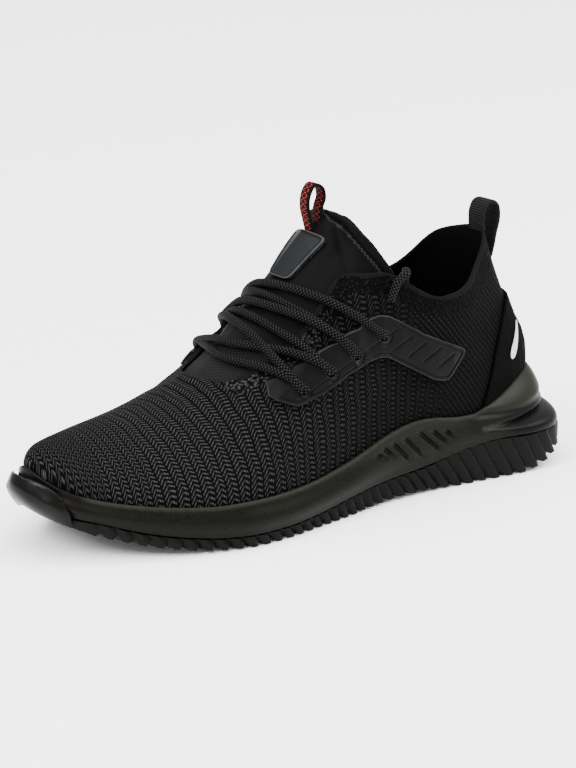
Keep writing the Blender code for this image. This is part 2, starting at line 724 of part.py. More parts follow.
def build_outsole():
    """The rubber tread: leaning ribs round the side that carry on across the bottom as bars."""
    places = rib_angles()
    angles, insets, grooves = places.T
    theta = around(angles)
    inset = np.concatenate([insets, insets[-2:0:-1]])
    share = (1 - np.cos(theta)) / 2
    fade = np.clip((RIBS_END - share) / 0.03, 0, 1)
    inward = plan_normal(edge_outline, theta) * (inset * fade * RIB_DEPTH)[:, None]
    lean = np.sign(theta) * np.sin(np.abs(theta)) * RIB_LEAN / (SOLE_LENGTH / 2)
    foot = foot_edge(theta - lean) - inward
    head = edge_outline(theta) - inward * 0.7
    head[:, 2] = joint_height(theta) - 2 * FIT_GAP
    count = len(angles)
    total = len(theta)
    left = foot[:count]
    right = foot[(total - np.arange(count)) % total]
    depth = grooves * fade[:count] * GROOVE_DEPTH
    rows = []
    for across, swing, cut in BAR_SHARES:
        point = left + (right - left) * across
        ends = np.sin(angles)
        point[:, 0] += swing * MM * ends
        point[:, 2] = floor_height(angles) + depth * cut
        rows.append(point)
    shape = Shape()
    top = shape.add(head)
    tread = shape.add(np.stack(rows, 1))
    shape.quads(tread)
    lateral = np.stack([top[:count], tread[:, 0]], 1)
    shape.quads(lateral)
    medial_top = top[(total - np.arange(count)) % total]
    shape.quads(np.stack([medial_top, tread[:, -1]], 1))
    across_strips(shape, top, count)
    return shape.solid("outsole", "rubber")


def build_insole():
    angles = station_angles()[::2]
    theta = around(angles)
    low = bed_height(theta) + 2 * FIT_GAP
    clear = -(UPPER_WALL + LOOSE_GAP)
    shape = Shape()
    rows = [inside_wall(theta, low + lift, clear) for lift in (0.0, INSOLE_THICKNESS)]
    grid = shape.add(np.stack(rows, 1))
    shape.quads(grid, closed=True)
    across_strips(shape, grid[:, 0], len(angles))
    across_strips(shape, grid[:, 1], len(angles))
    return shape.solid("insole", "insole")


BUMPER_START = 0.962
BUMPER_TOP = 0.80
BUMPER_COLUMNS = 12
BUMPER_ROWS = 5
BUMPER_GAP = 1.6 * MM


def build_toe_bumper():
    """The glossy pad over the toe's tip, thickest in its middle."""
    start = along_angle(BUMPER_START)
    sweep = np.linspace(start, 2 * math.pi - start, BUMPER_COLUMNS + 1)
    theta = wrapped(sweep)
    profile = side_profile(theta)
    lines = np.concatenate([foot_edge(theta)[:, None], profile], 1)
    normals = plan_normal(edge_outline, theta)
    across = np.linspace(-1, 1, BUMPER_COLUMNS + 1)
    crown = np.sqrt(np.clip(1 - across**2, 0, 1))
    low = floor_height(theta) + FIT_GAP
    high = low + (HEEL_CUP_HEIGHT * BUMPER_TOP - low) * (0.35 + 0.65 * crown)
    inner, outer = [], []
    for row in range(BUMPER_ROWS + 1):
        share = row / BUMPER_ROWS
        height = low + (high - low) * share
        base = np.stack(
            [
                [np.interp(z, line[:, 2], line[:, 0]) for z, line in zip(height, lines)],
                [np.interp(z, line[:, 2], line[:, 1]) for z, line in zip(height, lines)],
                height,
            ],
            -1,
        )
        bulge = (0.25 + 0.75 * crown) * (0.3 + 0.7 * math.sin(math.pi * (0.06 + 0.86 * share)) ** 0.7)
        inner.append(base + normals * BUMPER_GAP)
        outer.append(base + normals * (BUMPER_GAP + BUMPER_THICKNESS * bulge)[:, None])
    shape = Shape()
    outside = shape.add(np.stack(outer, 1))
    inside = shape.add(np.stack(inner, 1))
    for grid in (outside, inside):
        shape.quads(grid)
    shape.quads(np.stack([outside[0], inside[0]], 1))
    shape.quads(np.stack([outside[-1], inside[-1]], 1))
    shape.quads(np.stack([outside[:, 0], inside[:, 0]], 1))
    shape.quads(np.stack([outside[:, -1], inside[:, -1]], 1))
    return shape.solid("toe_bumper", "gloss_rubber")


def prism(name, outline, low, high):
    """A hidden cutter along Y: an outline of (x, z) shares of the side view and tongue height."""
    points = [(side_view_x(x), z * TONGUE_HEIGHT) for x, z in outline]
    return cutter_between(name, [(x, low, z) for x, z in points], [(x, high, z) for x, z in points])


def cutter_between(name, near, far):
    """A hidden closed cutter between two matching outlines of points."""
    count = len(near)
    faces = [tuple(range(count)), tuple(range(2 * count - 1, count - 1, -1))]
    for place in range(count):
        after = (place + 1) % count
        faces.append((place, after, after + count, place + count))
    cutter = add_solid(name, list(near) + list(far), faces, "moulded_tpu")
    cutter.hide_render = True
    cutter.display_type = "WIRE"
    return cutter


def boolean(obj, cutter, operation):
    made = obj.modifiers.new(cutter.name, "BOOLEAN")
    made.operation = operation
    made.object = cutter
    made.solver = "EXACT"


# The eyestay in side view, from its front corner down, back along the wing and up the tabs
EYESTAY_OUTLINE = (
    (0.641, 0.504),
    (0.640, 0.474),
    (0.628, 0.452),
    (0.604, 0.431),
    (0.592, 0.432),
    (0.550, 0.456),
    (0.494, 0.504),
    (0.455, 0.530),
    (0.436, 0.537),
    (0.418, 0.532),
    (0.392, 0.498),
    (0.330, 0.421),
    (0.308, 0.409),
    (0.298, 0.413),
    (0.262, 0.482),
    (0.259, 0.505),
    (0.344, 0.590),
    (0.352, 0.602),
    (0.390, 0.650),
    (0.408, 0.672),
    (0.424, 0.680),
    (0.440, 0.676),
    (0.453, 0.670),
    (0.470, 0.648),
    (0.483, 0.644),
    (0.500, 0.632),
    (0.508, 0.616),
    (0.524, 0.610),
    (0.544, 0.596),
    (0.552, 0.578),
    (0.568, 0.568),
    (0.586, 0.552),
    (0.592, 0.540),
)
EYELETS = ((0.583, 0.469), (0.532, 0.518), (0.479, 0.559), (0.422, 0.603))
EYESTAY_STATIONS = (0.25, 0.66, 13)
EYESTAY_UPS = (0.20, 0.82)
EYESTAY_ROWS = 8
SIDE_REACH = (0.1, 0.7)


def build_eyestay(name, side):
    """The moulded lace stay: its outline cut from a shell just over the knit, with four holes."""
    first, last, count = EYESTAY_STATIONS
    angles = np.linspace(along_angle(first), along_angle(last), count)
    shape = shell_patch(
        angles,
        np.full(count, EYESTAY_UPS[0]),
        np.full(count, EYESTAY_UPS[1]),
        EYESTAY_ROWS,
        lambda theta, up: np.full(up.shape, LOOSE_GAP),
        lambda theta, up: np.full(up.shape, LOOSE_GAP + OVERLAY_THICKNESS),
        sides=(side,),
        ridge=False,
    )
    stay = shape.solid(name, "moulded_tpu")
    near, far = (share * BALL_WIDTH * side for share in SIDE_REACH)
    boolean(stay, prism(name + "_outline", EYESTAY_OUTLINE, near, far), "INTERSECT")
    for number, (along, height) in enumerate(EYELETS):
        theta, up = locate_in_side_view(along, height, side)
        hole = round_cutter(f"{name}_hole_{number + 1}", theta, up)
        boolean(stay, hole, "DIFFERENCE")
    return stay


EYELET_SIDES = 12


def round_cutter(name, theta, up):
    """A round pin through the stay at one place of the last, square to its surface."""
    centre = foot_point(theta, up)
    normal = foot_normal(theta, up)
    first = unit(np.cross(normal, [0.0, 0.0, 1.0]))
    second = np.cross(normal, first)
    ring = []
    for step in range(EYELET_SIDES):
        turn = 2 * math.pi * step / EYELET_SIDES
        ring.append(centre + (first * math.cos(turn) + second * math.sin(turn)) * EYELET_RADIUS)
    reach = OVERLAY_THICKNESS * 3
    near = [point - normal * reach * 0.3 for point in ring]
    far = [point + normal * reach for point in ring]
    return cutter_between(name, near, far)


# The front edge of the heel counter: shares of the side view's length, and of the way up from the
# feather line to the tongue's height
COUNTER_EDGE = (
    (0.085, 0.427),
    (0.099, 0.421),
    (0.114, 0.406),
    (0.137, 0.347),
    (0.154, 0.297),
    (0.173, 0.229),
    (0.186, 0.147),
    (0.199, 0.064),
    (0.207, 0.014),
)
COUNTER_STATIONS = (0.0, 0.27, 10)
COUNTER_UPS = (0.06, 0.78)
COUNTER_ROWS = 9


def counter_outline():
    """The counter in side view, from the top of its front edge down and back along the rim."""
    edge = []
    for along, climb in COUNTER_EDGE:
        rim = float(rim_height(along_angle((side_view_x(along) - HEEL_OVERHANG) / UPPER_LENGTH)))
        edge.append((along, (rim + climb * (TONGUE_HEIGHT - rim)) / TONGUE_HEIGHT))
    angles = along_angle(np.array([0.17, 0.14, 0.11, 0.08, 0.04, 0.015]))
    rim = [
        (READ_HEEL + side_view_share(float(x) - HEEL_OVERHANG), float(z + 2 * FIT_GAP) / TONGUE_HEIGHT)
        for x, z in zip(rim_outline(angles)[:, 0], rim_height(angles))
    ]
    behind = [(-0.05, rim[-1][1]), (-0.05, edge[0][1])]
    return edge + rim + behind


def backstay_rise(theta, up):
    """The thicker pad down the middle of the heel, with a step at its top and its sides."""
    share = (1 - np.cos(np.abs(theta))) / 2
    beside = np.clip((0.020 - share) / 0.008, 0, 1)
    below = np.clip((0.50 - up) / 0.05, 0, 1)
    above = np.clip((up - 0.22) / 0.06, 0, 1)
    return beside * below * above * BACKSTAY_RISE


def build_heel_counter():
    first, last, count = COUNTER_STATIONS
    side = np.linspace(along_angle(first), along_angle(last), count)
    theta = np.concatenate([-side[:0:-1], side])
    up = np.linspace(COUNTER_UPS[0], COUNTER_UPS[1], COUNTER_ROWS)
    grid_theta, grid_up = np.meshgrid(theta, up, indexing="ij")
    thick = 2 * FIT_GAP + COUNTER_THICKNESS + backstay_rise(grid_theta, grid_up)
    shape = Shape()
    outer = shape.add(foot_offset(grid_theta, grid_up, thick))
    inner = shape.add(foot_offset(grid_theta, grid_up, np.full(thick.shape, 2 * FIT_GAP)))
    for grid in (outer, inner):
        shape.quads(grid)
    shape.quads(np.stack([outer[0], inner[0]], 1))
    shape.quads(np.stack([outer[-1], inner[-1]], 1))
    shape.quads(np.stack([outer[:, 0], inner[:, 0]], 1))
    shape.quads(np.stack([outer[:, -1], inner[:, -1]], 1))
    counter = shape.solid("heel_counter", "nubuck")
    width = SIDE_REACH[1] * BALL_WIDTH
    boolean(counter, prism("heel_counter_outline", counter_outline(), -width, width), "INTERSECT")
    return counter


STRIP_TOP = (0.092, 0.515)
STRIP_FOOT = (0.132, 0.400)
STRIP_WIDTH = 7.5 * MM
STRIP_STEPS = 9
# The counter's flats lie this much under the curve they follow where the strip crosses them
STRIP_LET_DOWN = 0.8 * MM


def build_reflective_strip(name, side):
    """A thin slanted strip over the counter: pointed at its top, round at its foot."""
    top = locate_in_side_view(*STRIP_TOP, side)
    foot = locate_in_side_view(*STRIP_FOOT, side)
    low = 2 * FIT_GAP + COUNTER_THICKNESS + LOOSE_GAP - STRIP_LET_DOWN
    shape = Shape()
    rows = []
    for place in range(STRIP_STEPS + 1):
        share = place / STRIP_STEPS
        theta = top[0] + (foot[0] - top[0]) * share
        up = top[1] + (foot[1] - top[1]) * share
        middle = foot_offset(theta, up, low)
        ahead = foot_offset(theta + 0.01 * (foot[0] - top[0]), up + 0.01 * (foot[1] - top[1]), low)
        normal = foot_normal(theta, up)
        sideways = unit(np.cross(normal, ahead - middle))
        half = STRIP_WIDTH / 2 * min(1.0, 0.2 + 0.85 * share) * math.sqrt(max(0.12, 1 - share**9))
        rows.append(
            [
                middle - sideways * half,
                middle + sideways * half,
                middle + sideways * half + normal * STRIP_THICKNESS,
                middle - sideways * half + normal * STRIP_THICKNESS,
                middle - sideways * half,
            ]
        )
    grid = shape.add(np.array(rows))
    shape.quads(grid)
    for end in (0, -1):
        shape.faces.append(tuple(int(number) for number in grid[end][:4]))
    return shape.solid(name, "reflective")


# The badge on the tongue: its corners as shares of its own height and width, the wide end up
BADGE_LOW = (0.5305, 0.788)
BADGE_HIGH = (0.478, 0.942)
BADGE_WIDTH_HIGH = 25 * MM
BADGE_WIDTH_LOW = 14 * MM
BADGE_CORNER = 3.5 * MM
BADGE_SHIFT = 0.8 * MM


def build_tongue_badge():
    """A plaque with round corners, cut from a shell over the tongue along the plaque's normal."""
    shares = np.array([0.5, 0.515, 0.53, 0.55, 0.57, 0.59, 0.61, 0.635])
    angles = along_angle(shares)
    shape = shell_patch(
        angles,
        np.full(len(angles), 0.74),
        np.ones(len(angles)),
        6,
        lambda theta, up: np.full(up.shape, FIT_GAP),
        lambda theta, up: np.full(up.shape, FIT_GAP + BADGE_THICKNESS),
    )
    badge = shape.solid("tongue_badge", "badge")
    low = np.array([side_view_x(BADGE_LOW[0]), BADGE_SHIFT, BADGE_LOW[1] * TONGUE_HEIGHT])
    high = np.array([side_view_x(BADGE_HIGH[0]), BADGE_SHIFT, BADGE_HIGH[1] * TONGUE_HEIGHT])
    upward = high - low
    length = np.linalg.norm(upward)
    upward = upward / length
    sideways = np.array([0.0, 1.0, 0.0])
    outward = np.cross(sideways, upward)
    corners = (
        (-BADGE_WIDTH_LOW / 2, 0.0),
        (BADGE_WIDTH_LOW / 2, 0.0),
        (BADGE_WIDTH_HIGH / 2, length),
        (-BADGE_WIDTH_HIGH / 2, length),
    )
    outline = [low + sideways * a + upward * b for a, b in rounded(corners, BADGE_CORNER)]
    reach = 0.1 * BALL_WIDTH
    near = [point - outward * reach for point in outline]
    far = [point + outward * reach for point in outline]
    boolean(badge, cutter_between("tongue_badge_outline", near, far), "INTERSECT")
    return badge


def rounded(corners, radius):
    """The corners of a convex outline, each turned into an arc of four points."""
    points = []
    count = len(corners)
    for place, corner in enumerate(corners):
        here = np.array(corner)
        before = unit(np.array(corners[place - 1]) - here)
        after = unit(np.array(corners[(place + 1) % count]) - here)
        start, stop = here + before * radius, here + after * radius
        for step in range(4):
            part = step / 3
            points.append(start * (1 - part) ** 2 + 2 * here * part * (1 - part) + stop * part**2)
    return [tuple(point) for point in points]


def smooth_path(points, per_span):
    """A rounded path through the points, which it passes through."""
    points = np.array(points, float)
    padded = np.concatenate([[2 * points[0] - points[1]], points, [2 * points[-1] - points[-2]]])
    path = []
    for place in range(1, len(padded) - 2):
        before, here, after, beyond = padded[place - 1 : place + 3]
        for step in range(per_span):
            part = step / per_span
            path.append(
                0.5
                * (
                    2 * here
                    + (after - before) * part
                    + (2 * before - 5 * here + 4 * after - beyond) * part**2
                    + (3 * here - before - 3 * after + beyond) * part**3
                )
            )
    path.append(points[-1])
    return np.array(path)


# Pull loops in side view: sole-length and tongue-height shares of the webbing's middle line
TONGUE_LOOP_PATH = (
    (0.472, 0.970),
    (0.479, 1.020),
    (0.477, 1.065),
    (0.466, 1.098),
    (0.451, 1.085),
    (0.447, 1.050),
    (0.452, 1.015),
    (0.449, 0.990),
)
HEEL_LOOP_PATH = (
    (0.126, 0.868),
    (0.125, 0.905),
    (0.117, 0.935),
    (0.103, 0.938),
    (0.094, 0.915),
    (0.093, 0.870),
    (0.1005, 0.820),
    (0.1050, 0.765),
)


def build_loop(name, path, width, look):
    """Flat webbing swept along a path in the plane of the shoe's middle."""
    route = smooth_path([(side_view_x(x), z * TONGUE_HEIGHT) for x, z in path], 3)
    tangent = np.gradient(route, axis=0)
    tangent /= np.linalg.norm(tangent, axis=1, keepdims=True)
    normal = np.stack([-tangent[:, 1], tangent[:, 0]], 1) * WEBBING_THICKNESS / 2
    shape = Shape()
    rows = []
    for (x, z), (out_x, out_z) in zip(route, normal):
        low, high = -width / 2, width / 2
        ring = [
            (x - out_x, low, z - out_z),
            (x - out_x, high, z - out_z),
            (x + out_x, high, z + out_z),
            (x + out_x, low, z + out_z),
        ]
        rows.append(ring + ring[:1])
    grid = shape.add(np.array(rows))
    shape.quads(grid)
    for end in (0, -1):
        shape.faces.append(tuple(int(number) for number in grid[end][:4]))
    return shape.solid(name, look)


# Each strand: its lateral eyelet, its place in the hole, where it crosses the ridge, its medial
# eyelet, its place in that hole, and how far it rides over the strand below it
STRANDS = (
    (0, -0.4, 0.644, 0, -0.5, 0.0),
    (1, -0.4, 0.623, 0, 0.5, 1.2),
    (0, 0.5, 0.600, 1, -0.9, 2.4),
    (1, 0.5, 0.586, 1, 0.0, 0.4),
    (2, -0.5, 0.569, 1, 0.9, 1.6),
    (2, 0.5, 0.556, 2, -0.4, 0.2),
    (3, 0.0, 0.541, 2, 0.5, 0.6),
)
STRAND_STEPS = 4
STRAND_SIDES = 6


def ridge_angle(along):
    """The station whose column meets the ridge at this share of the sole's length."""
    low, high = PEAK, math.pi
    for _ in range(HALVINGS):
        middle = (low + high) / 2
        if top_point(np.array(middle))[0] < side_view_x(along):
            low = middle
        else:
            high = middle
    return low


def build_lace_crossings():
    """The strands over the tongue, as one joined solid that stops just over each eyelet."""
    tubes = []
    for number, strand in enumerate(STRANDS):
        tubes.append(add_tube(f"lace_strand_{number + 1}", strand_route(*strand), LACE_RADIUS))
    crossings = tubes[0]
    crossings.name = "lace_crossings"
    for tube in tubes[1:]:
        tube.hide_render = True
        tube.display_type = "WIRE"
        boolean(crossings, tube, "UNION")
    return crossings


def strand_route(lateral, lateral_place, ridge, medial, medial_place, lift):
    """From one eyelet straight over the tongue to the other, lying on what is under it."""
    route = []
    over = LACE_RADIUS + 2 * FIT_GAP
    at_end = over + OVERLAY_THICKNESS + LOOSE_GAP + 3 * FIT_GAP
    crossing = ridge_angle(ridge)
    for side, number, place in ((1, lateral, lateral_place), (-1, medial, medial_place)):
        along, height = EYELETS[number]
        start = locate_in_side_view(along + side_view_share(place * EYELET_RADIUS), height, side)
        low, high = foot_point(*start), foot_point(crossing * side, 1.0)
        facing = unit(foot_normal(*start) + foot_normal(crossing * side, 1.0))
        half = []
        for step in range(STRAND_STEPS):
            share = step / STRAND_STEPS
            theta, up = locate(low + (high - low) * share, facing, side)
            past_stay = min(1.0, max(0.0, (share - 0.2) / 0.4))
            crown = math.sin(math.pi * min(1.0, share * 1.3) * 0.5)
            out = at_end + (over - at_end) * past_stay + lift * MM * crown
            half.append(foot_offset(theta, up, out))
        if side == 1:
            route += half + [foot_offset(crossing, 1.0, over + lift * MM)]
        else:
            route += half[::-1]
    return np.array(route)


def add_tube(name, route, radius):
    """A round tube along a route, with flat ends."""
    tangent = unit(np.gradient(route, axis=0))
    first = unit(np.cross(tangent, np.broadcast_to([0.2, 0.0, 1.0], tangent.shape)))
    second = np.cross(tangent, first)
    rows = []
    for place, middle in enumerate(route):
        ring = []
        for step in range(STRAND_SIDES + 1):
            turn = 2 * math.pi * (step % STRAND_SIDES) / STRAND_SIDES
            ring.append(middle + (first[place] * math.cos(turn) + second[place] * math.sin(turn)) * radius)
        rows.append(ring)
    shape = Shape()
    grid = shape.add(np.array(rows))
    shape.quads(grid)
    for end in (0, -1):
        shape.faces.append(tuple(int(number) for number in grid[end][:STRAND_SIDES]))
    return shape.solid(name, "lace")


# The middle line of the lace's loose end: out from under the stay's top, up over the collar's
# notch and down inside, as shares of the side view's length, the ball's width and the tongue's height
LACE_END_POINTS = (
    (0.4030, 0.3336, 0.7163),
    (0.3963, 0.3327, 0.7485),
    (0.3873, 0.3309, 0.7808),
    (0.3717, 0.3300, 0.8013),
    (0.3617, 0.2955, 0.8028),
    (0.3543, 0.2636, 0.7786),
    (0.3527, 0.2591, 0.7368),
    (0.3533, 0.2618, 0.6891),
    (0.3553, 0.2664, 0.6415),
)


def build_lace_end():
    curve = bpy.data.curves.new("lace_end", "CURVE")
    curve.dimensions = "3D"
    curve.bevel_depth = LACE_RADIUS
    curve.bevel_resolution = 2
    curve.use_fill_caps = True
    spline = curve.splines.new("POLY")
    spline.points.add(len(LACE_END_POINTS) - 1)
    for point, (along, sideways, height) in zip(spline.points, LACE_END_POINTS):
        x = side_view_x(along) - FLAT_SPOT_X
        point.co = (x, sideways * BALL_WIDTH, height * TONGUE_HEIGHT, 1.0)
    curve.materials.append(material("lace", *MATERIALS["lace"]))
    obj = bpy.data.objects.new("lace_end", curve)
    bpy.context.scene.collection.objects.link(obj)
    return obj


def clear_scene():
    for obj in list(bpy.data.objects):
        bpy.data.objects.remove(obj, do_unlink=True)


def main():
    clear_scene()
    build_outsole()
    build_midsole()
    build_toe_bumper()
    build_insole()
    build_upper()
    build_tongue()
    build_eyestay("eyestay_lateral", 1)
    build_eyestay("eyestay_medial", -1)
    build_heel_counter()
    build_reflective_strip("reflective_strip_lateral", 1)
    build_reflective_strip("reflective_strip_medial", -1)
    build_tongue_badge()
    build_loop("tongue_pull_loop", TONGUE_LOOP_PATH, TONGUE_LOOP_WIDTH, "fleck_webbing")
    build_loop("heel_pull_loop", HEEL_LOOP_PATH, HEEL_LOOP_WIDTH, "webbing")
    build_lace_crossings()
    build_lace_end()


main()
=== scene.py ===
"""The looks of a black knit safety sneaker, built over its solids.

X runs from the heel to the toe, Y to the lateral side of this left shoe and Z up, in metres.
"""

import math

import bpy
import numpy as np
from mathutils import Matrix, Vector
from mathutils.bvhtree import BVHTree
from mathutils.kdtree import KDTree


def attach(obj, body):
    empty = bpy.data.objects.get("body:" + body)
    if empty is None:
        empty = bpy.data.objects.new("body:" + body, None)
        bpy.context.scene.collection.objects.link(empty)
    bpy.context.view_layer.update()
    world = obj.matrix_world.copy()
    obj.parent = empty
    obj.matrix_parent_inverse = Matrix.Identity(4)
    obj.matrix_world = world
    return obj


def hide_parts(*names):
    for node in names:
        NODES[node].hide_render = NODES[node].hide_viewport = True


bl_info = {
    "name": "Knit safety sneaker",
    "version": (1, 0, 0),
    "blender": (4, 5, 0),
    "location": "View3D > Sidebar > Sneaker",
    "description": "Builds the knit, soles, stays, laces and pull loops of one sneaker",
    "category": "Object",
}

MM = 0.001
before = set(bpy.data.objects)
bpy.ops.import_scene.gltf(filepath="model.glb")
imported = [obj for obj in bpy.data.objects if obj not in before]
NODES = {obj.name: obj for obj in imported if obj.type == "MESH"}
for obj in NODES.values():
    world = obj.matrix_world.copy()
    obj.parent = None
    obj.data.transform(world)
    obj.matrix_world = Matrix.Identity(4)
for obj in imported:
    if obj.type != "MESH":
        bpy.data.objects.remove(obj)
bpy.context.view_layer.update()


def length(name, description, millimetres):
    """A length that a user may change, with its default in millimetres."""
    default = millimetres * MM
    return bpy.props.FloatProperty(name=name, description=description, default=default, unit="LENGTH")


class SneakerKnitSettings(bpy.types.PropertyGroup):
    column: length("Column pitch", "Width of one column of stitches", 6.6)
    stitch: length("Stitch pitch", "Distance from one chevron to the next in a column", 2.05)
    crease_depth: length("Crease depth", "Depth of the soft troughs in the knit", 0.9)


class SneakerSoleSettings(bpy.types.PropertyGroup):
    vent_depth: length("Vent depth", "Depth of the slanted slits under the arch", 1.5)
    edge_round: length("Rib rounding", "Rounding of the ribs' edges", 0.35)
    lean: bpy.props.FloatProperty(
        name="Rib lean",
        description="How far the ribs beside the heel lean towards the toe, as a slope",
        default=0.5,
    )


class SneakerOverlaySettings(bpy.types.PropertyGroup):
    seat: length("Seat", "How far the stays are pressed down onto the knit", 0.8)
    groove: length("Groove depth", "Depth of the lines moulded into the stays", 0.55)


class SneakerLaceSettings(bpy.types.PropertyGroup):
    radius: length("Radius", "Half the lace's thickness", 2.1)
    sides: bpy.props.IntProperty(
        name="Sides",
        description="Faces around the lace",
        default=16,
    )


def only(obj):
    """Selects the object alone and makes it the active one."""
    bpy.ops.object.select_all(action="DESELECT")
    obj.select_set(True)
    bpy.context.view_layer.objects.active = obj


def new_object(name, mesh):
    obj = bpy.data.objects.new(name, mesh)
    bpy.context.scene.collection.objects.link(obj)
    only(obj)
    return obj


def face_outward(obj):
    """Turns every face's front to the outside."""
    only(obj)
    bpy.ops.object.mode_set(mode="EDIT")
    bpy.ops.mesh.select_all(action="SELECT")
    bpy.ops.mesh.normals_make_consistent(inside=False)
    bpy.ops.object.mode_set(mode="OBJECT")


MERGE_DISTANCE = 0.02 * MM
FLAT_ENOUGH = math.radians(60)


def copy_of(node, name):
    """A mesh of its own with the solid's shape, with its doubles merged, in quads."""
    obj = new_object(name, NODES[node].data.copy())
    obj.data.materials.clear()
    bpy.ops.mesh.customdata_custom_splitnormals_clear()
    bpy.ops.object.mode_set(mode="EDIT")
    bpy.ops.mesh.select_all(action="SELECT")
    bpy.ops.mesh.remove_doubles(threshold=MERGE_DISTANCE)
    bpy.ops.mesh.tris_convert_to_quads(face_threshold=FLAT_ENOUGH, shape_threshold=FLAT_ENOUGH)
    bpy.ops.object.mode_set(mode="OBJECT")
    face_outward(obj)
    return obj


def modify(obj, kind, **settings):
    """Adds a modifier to the object and applies it."""
    only(obj)
    bpy.ops.object.modifier_add(type=kind)
    modifier = obj.modifiers[-1]
    for name, value in settings.items():
        setattr(modifier, name, value)
    bpy.ops.object.modifier_apply(modifier=modifier.name)


def bevel(obj, width, angle):
    """Rounds the edges sharper than the angle in degrees."""
    limits = {"limit_method": "ANGLE", "angle_limit": math.radians(angle), "use_clamp_overlap": True}
    modify(obj, "BEVEL", width=width, segments=2, **limits)


def subdivide(obj, levels):
    modify(obj, "SUBSURF", levels=levels, render_levels=levels)


def even_form(obj, grain, rounds):
    """Makes the shape anew in even faces about as long as grain, and softens it."""
    modify(obj, "REMESH", mode="VOXEL", voxel_size=grain, use_smooth_shade=True)
    modify(obj, "SMOOTH", factor=0.5, iterations=rounds)


def smooth(obj, angle):
    """Shades the object smooth, but for edges sharper than the angle in degrees."""
    only(obj)
    bpy.ops.object.shade_smooth_by_angle(angle=math.radians(angle))


def vectors_of(obj, field):
    """The vertices' places, as co, or their normals, one row each."""
    flat = np.empty(len(obj.data.vertices) * 3, np.float32)
    obj.data.vertices.foreach_get(field, flat)
    return flat.reshape(-1, 3).astype(float)


def points_of(obj):
    return vectors_of(obj, "co")


def normals_of(obj):
    return vectors_of(obj, "normal")


def place_points(obj, points):
    obj.data.vertices.foreach_set("co", points.astype(np.float32).ravel())
    obj.data.update()


LEAST_WEIGHT = 0.002


def relief(obj, weights, height):
    """Raises the surface by height times weights, from 0 to 1, or sinks it where height is below 0."""
    group = obj.vertex_groups.new(name="relief")
    for index in np.flatnonzero(weights > LEAST_WEIGHT):
        group.add([int(index)], float(weights[index]), "REPLACE")
    modify(obj, "DISPLACE", strength=height, mid_level=0, vertex_group=group.name)
    obj.vertex_groups.clear()


def ease(share):
    """0 below 0 and 1 above 1, with a smooth rise between them."""
    share = np.clip(share, 0, 1)
    return share * share * (3 - 2 * share)


def distance_to(points, line):
    """Each point's distance to a polyline, in as many coordinates as the line has."""
    best = np.full(len(points), np.inf)
    line = np.array(line, float) * MM
    for first, second in zip(line, line[1:]):
        span = second - first
        share = np.clip((points - first) @ span / (span @ span), 0, 1)
        best = np.minimum(best, np.linalg.norm(points - first - share[:, None] * span, axis=1))
    return best


def along_line(points, line, width):
    """1 on the polyline, easing to 0 at width millimetres from it."""
    return ease(1 - distance_to(points, line) / (width * MM))


def look_up(values, rows):
    """Each value's height in a table of (place, height) rows, straight between them."""
    return np.interp(values, *zip(*sorted(rows)))


def rides(obj, *nodes, slot):
    """Puts a piece on the shoe in place of its solids; its slot is not used."""
    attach(obj, "root")
    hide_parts(*nodes)
    return obj


def dress(obj, material):
    obj.data.materials.clear()
    obj.data.materials.append(material)


def tree_of(obj):
    graph = bpy.context.evaluated_depsgraph_get()
    return BVHTree.FromObject(obj, graph)


KEPT = {}


def upper_trees():
    """The upper's plain solid and its smooth form, to seat other pieces by."""
    if "trees" not in KEPT:
        plain = copy_of("upper", "upper_plain")
        first = tree_of(plain)
        subdivide(plain, 3)
        KEPT["trees"] = (first, tree_of(plain))
        bpy.data.objects.remove(plain, do_unlink=True)
    return KEPT["trees"]


# The line inside the shoe that outward is measured from, in metres: its ends along X and its height
CORE = (-0.025, 0.190, 0.040)


def outward_from_core(points):
    """The directions from the line inside the shoe out to the points."""
    core = np.zeros_like(points)
    core[:, 0] = np.clip(points[:, 0], CORE[0], CORE[1])
    core[:, 2] = CORE[2]
    away = points - core
    return away / np.linalg.norm(away, axis=1, keepdims=True)


# To seat a piece, rays start this far outside it and reach this deep. The hits on the two forms count
# only where they lie close together and no nearer to the start than this.
RAY_START = 12 * MM
RAY_REACH = 30 * MM
HITS_APART = 1.2 * MM
NEAREST_HIT = 8 * MM
SPREAD_ROUNDS = 110


def seat_on_upper(obj, lower):
    """Lets a piece follow the upper's smooth form and lowers it onto the knit."""
    plain, even = upper_trees()
    points = points_of(obj)
    outward = outward_from_core(points)
    shift = np.full(len(points), np.nan)
    for index, (point, away) in enumerate(zip(points, outward)):
        start = Vector(point + away * RAY_START)
        hits = [tree.ray_cast(start, Vector(-away), RAY_REACH)[3] for tree in (plain, even)]
        if None not in hits and abs(hits[0] - hits[1]) < HITS_APART and hits[0] > NEAREST_HIT:
            shift[index] = hits[0] - hits[1]
    shift = spread(obj, shift, SPREAD_ROUNDS)
    place_points(obj, points + outward * (shift - lower)[:, None])


def spread(obj, values, rounds):
    """Fills the places without a value from their neighbours and evens the rest out."""
    pairs = np.array([edge.vertices[:] for edge in obj.data.edges])
    known = np.isfinite(values)
    values = np.where(known, values, 0.0)
    weight = known.astype(float)
    for _ in range(rounds):
        total, share = values * weight, weight.copy()
        for first, second in ((0, 1), (1, 0)):
            np.add.at(total, pairs[:, first], (values * weight)[pairs[:, second]])
            np.add.at(share, pairs[:, first], weight[pairs[:, second]])
        values = np.where(share > 0, total / np.maximum(share, 1e-9), values)
        weight = np.where(share > 0, 1.0, 0.0)
    return values


def write_uv(obj, name, across, along):
    """A UV map from two values at each vertex."""
    layer = obj.data.uv_layers.get(name) or obj.data.uv_layers.new(name=name)
    corners = np.empty(len(obj.data.loops), np.int32)
    obj.data.loops.foreach_get("vertex_index", corners)
    pairs = np.stack([across[corners], along[corners]], 1)
    layer.data.foreach_set("uv", pairs.astype(np.float32).ravel())


